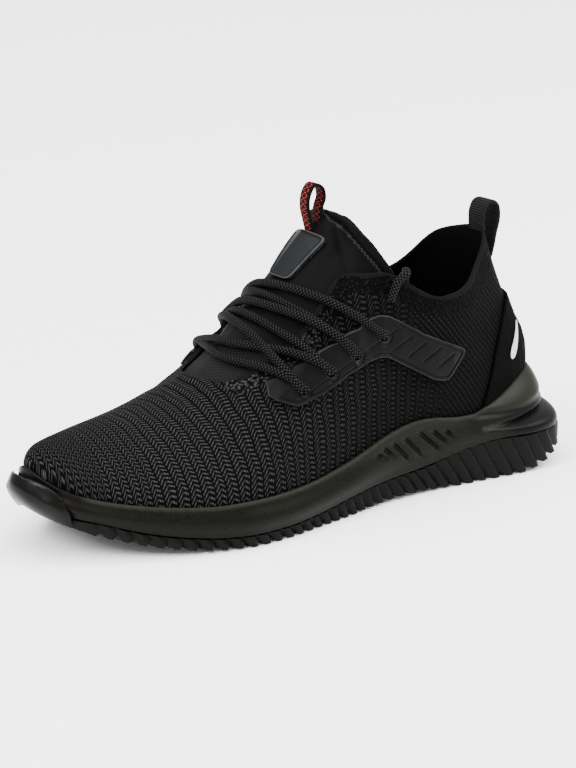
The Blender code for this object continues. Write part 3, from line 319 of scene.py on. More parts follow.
def write_value(obj, name, values):
    """An attribute with one value at each vertex, which the materials read."""
    attribute = obj.data.attributes.get(name) or obj.data.attributes.new(name, "FLOAT", "POINT")
    attribute.data.foreach_set("value", values.astype(np.float32))


def run_along(route):
    """The directions along a route, and its length up to each of its points."""
    ahead = np.gradient(route, axis=0)
    ahead /= np.linalg.norm(ahead, axis=1, keepdims=True)
    steps = np.linalg.norm(np.diff(route, axis=0), axis=1)
    return ahead, np.concatenate([[0], np.cumsum(steps)])


def skin_over(name, vertices, count):
    """A closed skin over rings of count vertices each."""
    faces = []
    for base in range(0, len(vertices) - count, count):
        for place in range(count):
            after = (place + 1) % count
            faces.append((base + place, base + after, base + count + after, base + count + place))
    faces.append(tuple(range(count - 1, -1, -1)))
    faces.append(tuple(range(len(vertices) - count, len(vertices))))
    mesh = bpy.data.meshes.new(name)
    mesh.from_pydata([tuple(vertex) for vertex in vertices], [], faces)
    return new_object(name, mesh)


def tube(name, route, radius, sides):
    """A round cord along a route, with a UV map of millimetres along and turns around it."""
    route = np.array(route, float)
    directions, run = run_along(route)
    turn = np.linspace(0, 2 * math.pi, sides, endpoint=False)
    out = np.array([0.2, 0.1, 1.0])
    vertices = []
    for middle, ahead in zip(route, directions):
        out = out - ahead * (out @ ahead)
        out /= np.linalg.norm(out)
        side = np.cross(ahead, out)
        vertices += [middle + (out * math.cos(angle) + side * math.sin(angle)) * radius for angle in turn]
    obj = skin_over(name, vertices, sides)
    mesh = obj.data
    layer = mesh.uv_layers.new(name="strand")
    for polygon in mesh.polygons:
        places = [mesh.loops[corner].vertex_index % sides for corner in polygon.loop_indices]
        closes_turn = len(places) == 4 and max(places) > sides / 2
        for corner, place in zip(polygon.loop_indices, places):
            share = 1.0 if closes_turn and place == 0 else place / sides
            row = mesh.loops[corner].vertex_index // sides
            layer.data[corner].uv = (run[row] / MM, share)
    face_outward(obj)
    return obj


def curve_through(points, per_span):
    """A smooth line through the points."""
    points = np.array(points, float)
    padded = np.vstack([2 * points[0] - points[1], points, 2 * points[-1] - points[-2]])
    out = []
    for place in range(len(points) - 1):
        a, b, c, d = padded[place : place + 4]
        slope = c - a
        bend = 2 * a - 5 * b + 4 * c - d
        twist = 3 * b - a - 3 * c + d
        for step in range(per_span):
            t = step / per_span
            out.append(0.5 * (2 * b + slope * t + bend * t**2 + twist * t**3))
    return np.array(out + [points[-1]])


STEPS_PER_SPAN = 10
EDGE_ROUNDING = 0.45


def ribbon(name, path, width, thickness):
    """Flat webbing along a path of (x, z), with a UV map of its length and width, all in millimetres."""
    route = curve_through(np.array(path) * MM, STEPS_PER_SPAN)
    directions, run = run_along(route)
    section = []
    corner = thickness * EDGE_ROUNDING
    for right, top, start in ((1, 1, 0), (-1, 1, 90), (-1, -1, 180), (1, -1, 270)):
        for step in (0, 45, 90):
            angle = math.radians(start + step)
            across = right * (width / 2 - corner) + corner * math.cos(angle)
            section.append((across, top * (thickness / 2 - corner) + corner * math.sin(angle)))
    vertices = []
    for (x, z), (ahead_x, ahead_z) in zip(route, directions):
        vertices += [(x - ahead_z * out, y, z + ahead_x * out) for y, out in section]
    obj = skin_over(name, vertices, len(section))
    rows = np.arange(len(vertices)) // len(section)
    write_uv(obj, "web", run[rows] / MM, np.array(vertices)[:, 1] / MM)
    face_outward(obj)
    return obj


def linear(code):
    """An sRGB hex colour as linear red, green, blue and alpha."""
    parts = [int(code[place : place + 2], 16) / 255 for place in (1, 3, 5)]
    light = [part / 12.92 if part <= 0.04045 else ((part + 0.055) / 1.055) ** 2.4 for part in parts]
    return (*light, 1.0)


# How far from its two ends a slit reaches its full depth, in millimetres
SLIT_START = 1.6
SLIT_END = 4.0


class Finish:
    """A material with its node tree, and short ways to add nodes to it."""

    def __init__(self, name, colour, roughness, specular):
        self.material = bpy.data.materials.new(name)
        self.material.use_nodes = True
        self.tree = self.material.node_tree
        self.shader = self.tree.nodes["Principled BSDF"]
        self.shader.inputs["Base Color"].default_value = linear(colour)
        self.shader.inputs["Roughness"].default_value = roughness
        self.shader.inputs["Specular IOR Level"].default_value = specular

    def add(self, kind, inputs=(), output=0, **settings):
        """Adds a node and gives one of its outputs; each input is a value or another node's output."""
        made = self.tree.nodes.new(kind)
        for name, value in settings.items():
            setattr(made, name, value)
        for place, value in inputs.items() if isinstance(inputs, dict) else enumerate(inputs):
            if isinstance(value, bpy.types.NodeSocket):
                self.tree.links.new(value, made.inputs[place])
            else:
                made.inputs[place].default_value = value
        return made.outputs[output]

    def math(self, operation, *values):
        return self.add("ShaderNodeMath", values, operation=operation)

    def plus(self, one, other):
        return self.math("ADD", one, other)

    def line(self, value, slope, start):
        """Value times slope, plus start."""
        return self.math("MULTIPLY_ADD", value, slope, start)

    def times(self, one, other):
        return self.math("MULTIPLY", one, other)

    def blend(self, share, low, high):
        """From the value low at share 0 to the value high at share 1."""
        return self.add("ShaderNodeMix", {0: share, 2: low, 3: high}, data_type="FLOAT")

    def distance(self, value, place):
        return self.math("ABSOLUTE", self.math("SUBTRACT", value, place))

    def wave(self, value, period=1.0):
        """A smooth wave from 0 to 1."""
        angle = self.times(self.math("DIVIDE", value, period), 2 * math.pi)
        return self.line(self.math("COSINE", angle), 0.5, 0.5)

    def step(self, value, low, high):
        """0 below low and 1 above high, with a smooth rise; low may be over high."""
        ends = {0: value, 1: min(low, high), 2: max(low, high)}
        if low > high:
            ends.update({3: 1.0, 4: 0.0})
        return self.add("ShaderNodeMapRange", ends, interpolation_type="SMOOTHSTEP")

    def uv(self, name):
        return self.split(self.add("ShaderNodeUVMap", uv_map=name))

    def split(self, vector):
        """The three parts of a vector."""
        return [self.add("ShaderNodeSeparateXYZ", (vector,), part) for part in range(3)]

    def place(self):
        return self.add("ShaderNodeTexCoord", output="Object")

    def value(self, name):
        return self.add("ShaderNodeAttribute", output="Fac", attribute_name=name)

    def noise(self, scale, detail):
        """Noise over the object, scale in bumps a metre."""
        inputs = {"Vector": self.place(), "Scale": scale, "Detail": detail}
        return self.add("ShaderNodeTexNoise", inputs)

    def slit(self, x, z, line, width):
        """1 down the middle of a slit in side view, easing to 0 at width millimetres and at its ends."""
        (x0, z0), (x1, z1) = line
        length = math.hypot(x1 - x0, z1 - z0)
        ahead_x, ahead_z = (x1 - x0) / length, (z1 - z0) / length
        along = self.line(x, ahead_x / MM, -(x0 * ahead_x + z0 * ahead_z))
        along = self.line(z, ahead_z / MM, along)
        beside = self.line(x, -ahead_z / MM, x0 * ahead_z - z0 * ahead_x)
        beside = self.math("ABSOLUTE", self.line(z, ahead_x / MM, beside))
        ends = self.times(self.step(along, 0.0, SLIT_START), self.step(along, length, length - SLIT_END))
        return self.times(self.step(beside, width, 0.1), ends)

    def mix(self, share, low, high):
        """From the colour low at share 0 to the colour high at share 1, each a hex code or an output."""
        low, high = (linear(shade) if isinstance(shade, str) else shade for shade in (low, high))
        return self.add("ShaderNodeMix", {0: share, 6: low, 7: high}, 2, data_type="RGBA")

    def colour(self, socket):
        self.tree.links.new(socket, self.shader.inputs["Base Color"])

    def rough(self, socket):
        self.tree.links.new(socket, self.shader.inputs["Roughness"])

    def bump(self, height, distance, strength):
        inputs = {"Height": height, "Distance": distance, "Strength": strength}
        self.tree.links.new(self.add("ShaderNodeBump", inputs), self.shader.inputs["Normal"])


# The knit's measures in millimetres: its slanted ribs at the heel and the knots along them, how far the
# rough loops and the bare rim reach from the opening's edge, and how deep the whole is
HEEL_RIB_PITCH = 2.1
HEEL_KNOT_PITCH = 1.8
LOOPS_REACH = (11.0, 8.0)
BARE_RIM = (3.0, 2.0)
KNIT_DEPTH = 0.8


def knit_finish(settings):
    """Coarse black knit: columns of chevrons, slanted ribs at the heel, rough loops by the rim."""
    made = Finish("coarse_black_knit", "#0d0d0e", 0.85, 0.03)
    across, along, _ = made.uv("knit")
    x, _, z = made.split(made.place())
    edge = made.value("edge")
    lining = made.value("lining")
    wobble = made.times(made.math("SUBTRACT", made.noise(90, 2), 0.5), 0.5)
    column = made.plus(made.math("DIVIDE", across, settings.column / MM), wobble)
    beside = made.math("ABSOLUTE", made.line(made.math("FRACT", column), 2.0, -1.0))
    climb = made.times(beside, -1.15)
    stitch = made.wave(made.plus(made.math("DIVIDE", along, settings.stitch / MM), climb))
    valley = made.step(beside, 1.0, 0.72)
    spine = made.line(made.step(beside, 0.0, 0.16), 0.5, 0.5)
    beads = made.line(made.wave(made.times(beside, 2.5)), 0.45, 0.55)
    chevrons = made.times(made.times(stitch, valley), made.times(spine, beads))
    rise = made.plus(made.times(x, 640.0), made.times(z, -560.0))
    run = made.plus(made.times(x, 560.0), made.times(z, 640.0))
    ribs = made.wave(made.plus(rise, made.times(wobble, 3.0)), HEEL_RIB_PITCH)
    knots = made.line(made.wave(run, HEEL_KNOT_PITCH), 0.6, 0.4)
    heel = made.step(made.line(z, -0.35, x), 0.024, 0.006)
    cloth = made.blend(heel, chevrons, made.times(ribs, knots))
    cloth = made.line(made.noise(2600, 2), 0.45, cloth)
    loops = made.add("ShaderNodeTexVoronoi", {"Vector": made.place(), "Scale": 620.0})
    front = made.line(made.step(x, 0.08, 0.11), 0.35, 1.05)
    loops = made.math("SUBTRACT", front, made.times(loops, 1.5))
    bare_rim = made.step(edge, *BARE_RIM)
    height = made.blend(made.step(edge, *LOOPS_REACH), cloth, loops)
    height = made.blend(lining, made.blend(bare_rim, height, 0.6), 0.5)
    # Painted light: the strands are painted lighter towards the toe, where light falls on the vamp, and
    # darker towards the heel.
    strands = made.mix(made.step(x, 0.0, 0.2), "#101011", "#363637")
    # Painted highlight and painted shade: the raised stitches take the strands' colour and the gaps
    # between them are painted near black.
    shade = made.mix(made.step(height, 0.45, 1.25), "#020202", strands)
    shade = made.mix(bare_rim, shade, "#0a0a0b")
    # Painted fill light: the lining is painted lighter from the throat forward, where it lies in shadow.
    lining_fill_light = made.mix(made.step(x, 0.085, 0.1), "#060607", "#1c1c1d")
    made.colour(made.mix(lining, shade, lining_fill_light))
    made.bump(height, KNIT_DEPTH * MM, 0.9)
    return made.material


# On the tongue, in millimetres: how far the seam and the groove lie from its rear edge, how far the
# seam's zigzag goes, and where the gore begins
SEAM = 6.2
SEAM_ZIGZAG = 0.9
SEAM_GROOVE = 4.4
GORE_START = (116.5, 118.5)


def neoprene_finish():
    """Smooth matte black neoprene with a sewn hem; fine slanted ribs on the gore at its front."""
    made = Finish("smooth_black_neoprene", "#070708", 0.6, 0.03)
    hem = made.value("hem")
    x, y, _ = made.split(made.place())
    run, _, _ = made.uv("tongue")
    zigzag = made.math("PINGPONG", run, SEAM_ZIGZAG)
    stitch = made.step(made.distance(made.plus(hem, zigzag), SEAM), 0.6, 0.2)
    groove = made.step(made.distance(hem, SEAM_GROOVE), 0.7, 0.1)
    slant = made.plus(made.times(x, 1100.0), made.times(y, 620.0))
    gore = made.step(x, GORE_START[0] * MM, GORE_START[1] * MM)
    ribs = made.times(made.wave(slant), gore)
    grain = made.noise(1500, 3)
    shade = made.mix(stitch, made.mix(grain, "#040405", "#070708"), "#1d1d1e")
    # Painted shade: the hem's groove is painted near black.
    shade = made.mix(groove, shade, "#020202")
    made.colour(made.mix(made.times(ribs, 0.7), shade, "#212122"))
    height = made.line(stitch, 0.5, made.times(groove, -1.2))
    height = made.plus(height, made.times(ribs, 0.5))
    made.bump(made.line(grain, 0.15, height), 0.6 * MM, 0.7)
    return made.material


# The slits' width in the finish, in millimetres: they are sunk by bumps and painted black as painted
# shade
SLIT_WIDTH = 1.35
FOAM_DEPTH = 0.25 * MM


def foam_finish(depth):
    """Satin dark olive charcoal foam with a fine grain and slanted slits, paler on the heel cup, with a
    painted highlight along its sharp edges and painted shade in its slits.
    """
    made = Finish("grained_olive_foam", "#0a0b07", 0.34, 0.045)
    x, y, z = made.split(made.place())
    grain = made.noise(1700, 3)
    slits = 0.0
    for line in VENTS:
        slits = made.math("MAXIMUM", slits, made.slit(x, z, line, SLIT_WIDTH))
    slits = made.times(slits, made.step(made.math("ABSOLUTE", y), 0.024, 0.028))
    toe = made.value("toe")
    shade = made.mix(made.step(grain, 0.3, 0.7), "#040503", "#0f100b")
    # Painted highlight: the foam is painted lighter along its sharp top edges.
    edge = made.step(made.value("edge"), 2.2, 0.6)
    shade = made.mix(made.times(edge, 0.6), shade, "#24261f")
    shade = made.mix(made.value("dark"), shade, "#060606")
    shade = made.mix(made.times(made.value("cup"), 0.8), shade, "#181a15")
    shade = made.mix(toe, shade, "#0b0808")
    # Painted shade: the slits are painted black inside.
    made.colour(made.mix(made.math("POWER", slits, 1.3), shade, "#000000"))
    made.rough(made.blend(toe, 0.42, 0.25))
    height = made.line(grain, 0.2, made.times(slits, -depth / FOAM_DEPTH))
    made.bump(height, FOAM_DEPTH, 0.9)
    return made.material


def grained_finish(base, grain, shades, relief_depth, strength):
    """A plain finish: its base values, its noise's scale and detail, two shades and its bumps."""
    made = Finish(*base)
    noise = made.noise(*grain)
    made.colour(made.mix(noise, *shades))
    made.bump(noise, relief_depth * MM, strength)
    return made.material


def rubber_finish():
    """Satin black rubber of the ribbed outsole."""
    base = ("satin_black_rubber", "#080907", 0.38, 0.05)
    return grained_finish(base, (1800, 3), ("#050605", "#0a0b09"), 0.2, 0.5)


def bumper_finish():
    """Smooth glossy black rubber of the toe bumper."""
    base = ("glossy_black_rubber", "#060606", 0.24, 0.08)
    return grained_finish(base, (160, 2), ("#040404", "#080807"), 0.2, 0.3)


def nubuck_finish():
    """Very black nubuck with a short nap."""
    base = ("black_nubuck", "#040404", 0.9, 0.02)
    return grained_finish(base, (2200, 4), ("#020202", "#060606"), 0.3, 0.5)


def insole_finish():
    """Black brushed fabric of the insole."""
    base = ("black_insole_fabric", "#0a0a0b", 0.9, 0.05)
    return grained_finish(base, (1600, 3), ("#070708", "#0e0e0f"), 0.3, 0.5)


def stay_finish():
    """Matte moulded black plastic film of the lace stays, with a painted highlight in grey along its edge
    and painted shade in black in its grooves.
    """
    made = Finish("matte_moulded_plastic", "#080809", 0.42, 0.045)
    grain = made.noise(1900, 3)
    # Painted highlight: the film is painted grey along its rounded edge.
    edge = made.step(made.value("edge"), 0.75, 0.3)
    shade = made.mix(edge, made.mix(grain, "#070708", "#0a0a0b"), "#222223")
    # Painted shade: the moulded grooves are painted black.
    made.colour(made.mix(made.value("groove"), shade, "#000000"))
    made.bump(grain, 0.15 * MM, 0.4)
    return made.material


def reflective_finish():
    """Light grey reflective film with a faint honeycomb."""
    made = Finish("grey_reflective_film", "#b8b8b8", 0.35, 0.5)
    cells = made.add("ShaderNodeTexVoronoi", {"Vector": made.place(), "Scale": 900.0})
    made.colour(made.mix(cells, "#c6c6c6", "#a2a2a2"))
    return made.material


def badge_finish():
    """Slate grey plaque, darker on its raised rim, with a painted highlight in light grey along its
    edges.
    """
    made = Finish("slate_grey_plaque", "#151819", 0.4, 0.08)
    # Painted highlight: the plaque is painted light grey along its sharp edges.
    edge = made.step(made.value("edge"), 0.8, 0.4)
    made.colour(made.mix(edge, made.mix(made.value("rim"), "#0e1011", "#020203"), "#2c2f2f"))
    made.bump(made.noise(1200, 2), 0.1 * MM, 0.3)
    return made.material


WEBBING_RIB_PITCH = 1.15
WEBBING_YARN_PITCH = 0.8


def webbing_finish():
    """Black webbing with fine ribs across it."""
    made = Finish("ribbed_black_webbing", "#0a0a0b", 0.78, 0.04)
    along, across, _ = made.uv("web")
    yarn = made.wave(across, WEBBING_YARN_PITCH)
    height = made.line(yarn, 0.3, made.wave(along, WEBBING_RIB_PITCH))
    made.colour(made.mix(made.step(height, 0.1, 1.2), "#040405", "#1b1b1c"))
    made.bump(height, 0.35 * MM, 0.8)
    return made.material


# The flecks' zigzags: half a turn's length in millimetres, their slope and their shift to the side
FLECK_TURN = 2.6
FLECK_SLOPE = 1.7
FLECK_SHIFT = -2.2
FLECK_WEAVE_PITCH = 0.85


def fleck_finish():
    """Black flat lace with salmon red flecks in crossing zigzags."""
    made = Finish("black_webbing_red_flecks", "#0a0808", 0.75, 0.04)
    along, across, _ = made.uv("web")
    turns = made.math("PINGPONG", along, FLECK_TURN)
    zigzag = made.line(turns, FLECK_SLOPE, FLECK_SHIFT)
    other = made.math("ABSOLUTE", made.plus(across, zigzag))
    line = made.step(made.math("MINIMUM", made.distance(across, zigzag), other), 0.65, 0.3)
    weave = made.wave(along, FLECK_WEAVE_PITCH)
    made.colour(made.mix(made.times(line, made.step(weave, 0.25, 0.6)), "#070505", "#8a2a26"))
    made.bump(weave, 0.3 * MM, 0.7)
    return made.material


BRAID_PITCH = 1.7
BRAID_STRANDS = 6.0


def lace_finish():
    """Round braided black cord with grey specks, its braid's valleys painted black as painted shade."""
    made = Finish("braided_black_cord", "#0a0a0b", 0.7, 0.04)
    along, around, _ = made.uv("strand")
    turns = made.times(around, BRAID_STRANDS)
    pace = made.math("DIVIDE", along, BRAID_PITCH)
    one = made.wave(made.plus(pace, turns))
    other = made.wave(made.math("SUBTRACT", pace, turns))
    braid = made.math("MAXIMUM", one, other)
    speck = made.step(made.times(one, other), 0.55, 0.85)
    # Painted shade: the valleys between the braid's strands are painted black.
    shade = made.mix(made.step(braid, 0.5, 1.0), "#000000", "#09090a")
    made.colour(made.mix(speck, shade, "#2f2f30"))
    made.bump(braid, 0.45 * MM, 0.9)
    return made.material


def floor_finish():
    """Plain white studio paper."""
    return Finish("white_studio_paper", "#ffffff", 0.9, 0.1).material


def shared(name, make):
    """The finish of that name, made once and then shared."""
    if name not in KEPT:
        KEPT[name] = make()
    return KEPT[name]


def complete(obj, angle, material, node, slot):
    """Shades a piece smooth, dresses it and lets it stand for its node."""
    smooth(obj, angle)
    dress(obj, material)
    return rides(obj, node, slot=slot)


# Soft troughs in the knit: places down a line in millimetres, its width and its share of the depth
CREASES = (
    (((158, 40, 32), (152, 38, 50), (150, 20, 62)), 9, 0.8),
    (((158, -44, 32), (152, -34, 50), (150, -16, 62)), 9, 0.8),
    (((118, 49, 30), (112, 45, 45), (100, 43, 54)), 10, 1.0),
    (((78, 44, 40), (66, 42, 52), (50, 43, 60)), 10, 0.8),
    (((30, 39, 78), (14, 34, 74), (0, 32, 70)), 9, 0.7),
    (((60, 38, 92), (44, 36, 90), (28, 33, 96)), 8, 0.7),
)
RIDGES = (
    (((140, 46, 34), (136, 44, 48), (132, 30, 62)), 10, 0.6),
    (((96, 47, 34), (88, 43, 48), (74, 42, 58)), 10, 0.6),
)


# Edges whose faces turn by more than this count as sharp, each taken as this many steps and its end
SHARP_ANGLE = math.radians(50)
EDGE_STEPS = 6


def sharp_edges(obj, lowest=-1.0, furthest=1.0):
    """The solid's sharp edges over a height and short of a place along the shoe, as a tree of points."""
    mesh = obj.data
    only(obj)
    faces = {}
    for polygon in mesh.polygons:
        for key in polygon.edge_keys:
            faces.setdefault(key, []).append(polygon.normal.copy())
    tree_points = []
    for (first, second), normals in faces.items():
        if len(normals) != 2 or normals[0].dot(normals[1]) > math.cos(SHARP_ANGLE):
            continue
        start, stop = mesh.vertices[first].co, mesh.vertices[second].co
        if min(start.z, stop.z) < lowest or max(start.x, stop.x) > furthest:
            continue
        tree_points += [start.lerp(stop, step / EDGE_STEPS) for step in range(EDGE_STEPS + 1)]
    tree = KDTree(len(tree_points))
    for index, point in enumerate(tree_points):
        tree.insert(point, index)
    tree.balance()
    return tree


def measure_edge(obj, tree):
    """Each vertex's distance to the sharp edges, in millimetres."""
    distances = np.array([tree.find(Vector(point))[2] for point in points_of(obj)]) / MM
    write_value(obj, "edge", distances)
    return distances


# Height of the upper's ridge along the shoe, (x, z) in millimetres
RIDGE_HEIGHTS = ((-40, 150), (20, 150), (60, 128), (110, 92), (150, 70), (200, 52), (235, 36))
# How far the columns of stitches lean, (x in millimetres, slope), and where each place along the shoe
# lies in the pattern, both in millimetres
COLUMN_LEAN = ((-40, 0.5), (10, 0.4), (70, 0.0))
COLUMN_PLACES = ((-60, -60), (165, 165), (195, 200), (215, 234), (240, 300))
COLUMN_LEAN_HEIGHT = 70
RIDGE_HALF_WIDTH = 14
# The opening's rolled edge: its width in millimetres, and its rise
RIM_WIDTH = 3
RIM_RISE = 0.35 * MM


def build_upper(settings):
    """The knit upper: creased, with its opening's edge rolled and columns of stitches around it."""
    obj = copy_of("upper", "knit_upper")
    tree = sharp_edges(obj, 45 * MM, 135 * MM)
    subdivide(obj, 3)
    points = points_of(obj)
    for lines, depth in ((CREASES, -settings.crease_depth), (RIDGES, settings.crease_depth)):
        for line, width, share in lines:
            relief(obj, along_line(points, line, width) * share, depth)
    relief(obj, ease(1 - measure_edge(obj, tree) / RIM_WIDTH), RIM_RISE)
    points = points_of(obj)
    x, y, z = points.T / MM
    drop = np.maximum(look_up(x, RIDGE_HEIGHTS) - z, 0) * ease(np.abs(y) / RIDGE_HALF_WIDTH)
    across = look_up(x, COLUMN_PLACES) + look_up(x, COLUMN_LEAN) * (z - COLUMN_LEAN_HEIGHT)
    write_uv(obj, "knit", across, np.sign(y) * np.hypot(y, drop))
    inward = (normals_of(obj) * outward_from_core(points)).sum(1) < -0.1
    # Inward faces count as lining, which the finish paints lighter at the throat as painted fill light.
    write_value(obj, "lining", inward.astype(float))
    return complete(obj, 60, knit_finish(settings), "upper", "knit")


# The tongue's rear edge from its foot beside the ankle up to its top, (x, |y|, z) in millimetres
TONGUE_RIM = (
    (54.5, 32.0, 91.0), (53.4, 30.6, 102.0), (53.2, 29.4, 109.5), (57.0, 27.0, 116.0),
    (61.8, 24.0, 123.0), (65.6, 19.0, 129.5), (66.9, 12.0, 134.0), (67.6, 5.0, 135.5),
    (67.8, 0.0, 135.6),
)
TONGUE_GRAIN = 0.8 * MM
HEM_WIDTH = 5
HEM_RISE = 0.45 * MM
# The tongue's medial side is lifted by this much at its front
MEDIAL_LIFT = 1.3 * MM


def build_tongue():
    """The tongue: evened out, with a rolled and sewn hem and a ribbed gore where it meets the knit."""
    obj = copy_of("tongue", "padded_tongue")
    even_form(obj, TONGUE_GRAIN, 14)
    points = points_of(obj)
    mirrored = np.stack([points[:, 0], np.abs(points[:, 1]), points[:, 2]], 1)
    distances = distance_to(mirrored, TONGUE_RIM) / MM
    x, y, z = points.T / MM
    points[:, 2] += MEDIAL_LIFT * ease((x - 95) / 12) * ease((-y - 8) / 10)
    place_points(obj, points)
    outside = ease((normals_of(obj) * outward_from_core(points)).sum(1) / 0.3)
    write_value(obj, "hem", np.where(outside > 0.2, distances, 0))
    relief(obj, ease(1 - distances / HEM_WIDTH) * outside, HEM_RISE)
    x, y, z = points.T / MM
    write_uv(obj, "tongue", z + x * 0.5 + np.abs(y) * 0.4, z)
    return complete(obj, 60, neoprene_finish(), "tongue", "neoprene")


# The slits under the arch and the heel cup's lower line in side view, (x, z) in millimetres
VENTS = (
    ((73.5, 25.8), (68.0, 23.6)), ((69.0, 28.2), (62.0, 23.0)), ((63.0, 29.8), (51.8, 18.9)),
    ((55.5, 30.8), (43.5, 19.4)), ((46.8, 32.2), (33.0, 20.6)), ((38.3, 31.4), (28.8, 23.6)),
    ((30.6, 30.3), (25.0, 25.6)),
)
CUP_LINE = ((12, 33.5), (4, 33.0), (-8, 31.5), (-22, 31.0), (-36, 32.0), (-52, 34.0))
# The slits' width in the shape, in millimetres, and the share of their depth that isn't left to bumps
SLIT_RELIEF_WIDTH = 1.8
SLIT_RELIEF_SHARE = 0.4
CUP_LINE_WIDTH = 3.0
CUP_LINE_DEPTH = 0.7 * MM
# Where the foam's colour changes under the bumper, in millimetres
TOE_PATCH = 222


def build_midsole(settings):
    """The foam tray, with its slits under the arch and its heel cup's soft line."""
    obj = copy_of("midsole", "foam_midsole")
    tree = sharp_edges(obj, 20 * MM)
    bevel(obj, 0.5 * MM, 38)
    subdivide(obj, 3)
    points = points_of(obj)
    side = points[:, [0, 2]]
    x, y, z = points.T / MM
    slits = np.zeros(len(points))
    for line in VENTS:
        slits = np.maximum(slits, along_line(side, line, SLIT_RELIEF_WIDTH))
    relief(obj, slits * ease((np.abs(y) - 26) / 4), -SLIT_RELIEF_SHARE * settings.vent_depth)
    crease = along_line(side, CUP_LINE, CUP_LINE_WIDTH) * ease((16 - x) / 8)
    relief(obj, crease, -CUP_LINE_DEPTH)
    above = (z - look_up(x, CUP_LINE)) / 1.5
    write_value(obj, "cup", ease(above) * ease((10 - x) / 8))
    write_value(obj, "dark", ease(0.5 - above) * ease((-4 - x) / 14) * ease((z - 14) / 4))
    write_value(obj, "toe", ease((x - TOE_PATCH) / 5))
    # The distance to the top's sharp edges places the foam's painted highlight.
    measure_edge(obj, tree)
    return complete(obj, 50, foam_finish(settings.vent_depth), "midsole", "foam")


def build_outsole(settings):
    """The ribbed outsole, its ribs' edges rounded and the ones beside the heel leaning."""
    obj = copy_of("outsole", "ribbed_outsole")
    bevel(obj, settings.edge_round, 28)
    points = points_of(obj)
    x, y, z = points.T / MM
    lean = ease((x + 52) / 20) * ease((75 - x) / 30) * ease((np.abs(y) - 12) / 14)
    points[:, 0] += (z - 12) * settings.lean * lean * MM
    place_points(obj, points)
    return complete(obj, 50, rubber_finish(), "outsole", "rubber")


def build_bumper():
    """The smooth bumper that wraps the toe."""
    obj = copy_of("toe_bumper", "glossy_toe_bumper")
    bevel(obj, 0.6 * MM, 40)
    subdivide(obj, 2)
    even_form(obj, 0.6 * MM, 14)
    return complete(obj, 60, bumper_finish(), "toe_bumper", "gloss_rubber")


def build_insole():
    """The plain insole with rounded edges."""
    obj = copy_of("insole", "fabric_insole")
    bevel(obj, 0.8 * MM, 40)
    subdivide(obj, 1)
    return complete(obj, 50, insole_finish(), "insole", "insole")


# On the stays, in side view and millimetres: the line along their lower border, the grooves of their
# wing, and the height below which their hem's groove shows
BORDER_LINE = ((118.5, 63.0), (114, 62.6), (106, 66.4), (90, 72.6), (78, 76.8), (70, 80.0), (59.4, 83.8))
WING_GROOVES = (
    ((62.9, 74.7), (51.3, 79.4)), ((53.5, 70.5), (43.1, 75.4)),
    ((45.1, 66.8), (34.6, 71.4)), ((35.9, 62.9), (26.1, 67.3)),
)
HEM_LIMIT = ((20, 200), (59, 83.8), (70, 80.0), (90, 72.6), (106, 66.4), (119, 63.0))
GROOVE_WIDTH = 1.0
HEM_GROOVE = 1.9


def build_stay(side, settings):
    """A moulded lace stay with rounded edges, its border line and the grooves of its wing."""
    obj = copy_of("eyestay_" + side, "lace_stay_" + side)
    tree = sharp_edges(obj)
    even_form(obj, 0.45 * MM, 3)
    # The distance to the edges places the hem's groove and the finish's painted highlight along the edge.
    edge = measure_edge(obj, tree)
    seat_on_upper(obj, settings.seat)
    points = points_of(obj)
    outward = ease(normals_of(obj)[:, 1] * np.sign(points[:, 1]) / 0.4)
    view = points[:, [0, 2]]
    x, z = view.T / MM
    grooves = ease(1 - np.abs(edge - HEM_GROOVE) / 0.7) * ease((look_up(x, HEM_LIMIT) - z) / 2)
    for line in (BORDER_LINE, *WING_GROOVES):
        grooves = np.maximum(grooves, along_line(view, line, GROOVE_WIDTH))
    grooves = grooves * outward
    # The grooves' mask, which the finish also paints black as painted shade.
    write_value(obj, "groove", grooves)
    relief(obj, grooves, -settings.groove)
    return complete(obj, 60, shared("stay", stay_finish), "eyestay_" + side, "moulded_tpu")


def build_counter():
    """The heel counter with its raised pad, lying on the knit."""
    obj = copy_of("heel_counter", "nubuck_heel_counter")
    even_form(obj, 0.6 * MM, 5)
    seat_on_upper(obj, 0.4 * MM)
    return complete(obj, 60, nubuck_finish(), "heel_counter", "nubuck")


def build_strip(side):
    """A reflective strip, down on the counter."""
    obj = copy_of("reflective_strip_" + side, "grey_strip_" + side)
    subdivide(obj, 2)
    seat_on_upper(obj, 0.7 * MM)
    material = shared("strip", reflective_finish)
    return complete(obj, 60, material, "reflective_strip_" + side, "reflective")


BADGE_RIM = 1.3
BADGE_SINK = 0.45 * MM


def build_badge():
    """The tongue's plaque: a sunk field inside a raised rim, left bare."""
    obj = copy_of("tongue_badge", "tongue_plaque")
    tree = sharp_edges(obj)
    even_form(obj, 0.35 * MM, 4)
    # The distance to the edges also places the finish's painted highlight.
    field = ease((measure_edge(obj, tree) - BADGE_RIM) / 0.5)
    relief(obj, field, -BADGE_SINK)
    write_value(obj, "rim", 1 - field)
    return complete(obj, 60, badge_finish(), "tongue_badge", "badge")


# The pull loops' paths in the plane of the shoe's middle, (x, z) in millimetres
TONGUE_LOOP = (
    (80.6, 127.0), (82.0, 132.3), (83.7, 139.1), (83.1, 145.3), (79.8, 149.8), (75.3, 148.0),
    (74.1, 143.2), (75.8, 138.4), (76.2, 131.0),
)
HEEL_LOOP = (
    (-22.6, 114.0), (-22.2, 118.4), (-22.5, 123.4), (-24.9, 127.5), (-29.1, 127.9), (-31.8, 124.8),
    (-32.1, 118.7), (-30.2, 111.8), (-28.8, 105.5), (-27.3, 100.5),
)
WEBBING_THICKNESS = 1.6 * MM


def build_tongue_loop():
    """The flecked loop at the tongue's top."""
    obj = ribbon("fleck_pull_loop", TONGUE_LOOP, 7 * MM, WEBBING_THICKNESS)
    return complete(obj, 50, fleck_finish(), "tongue_pull_loop", "fleck_webbing")


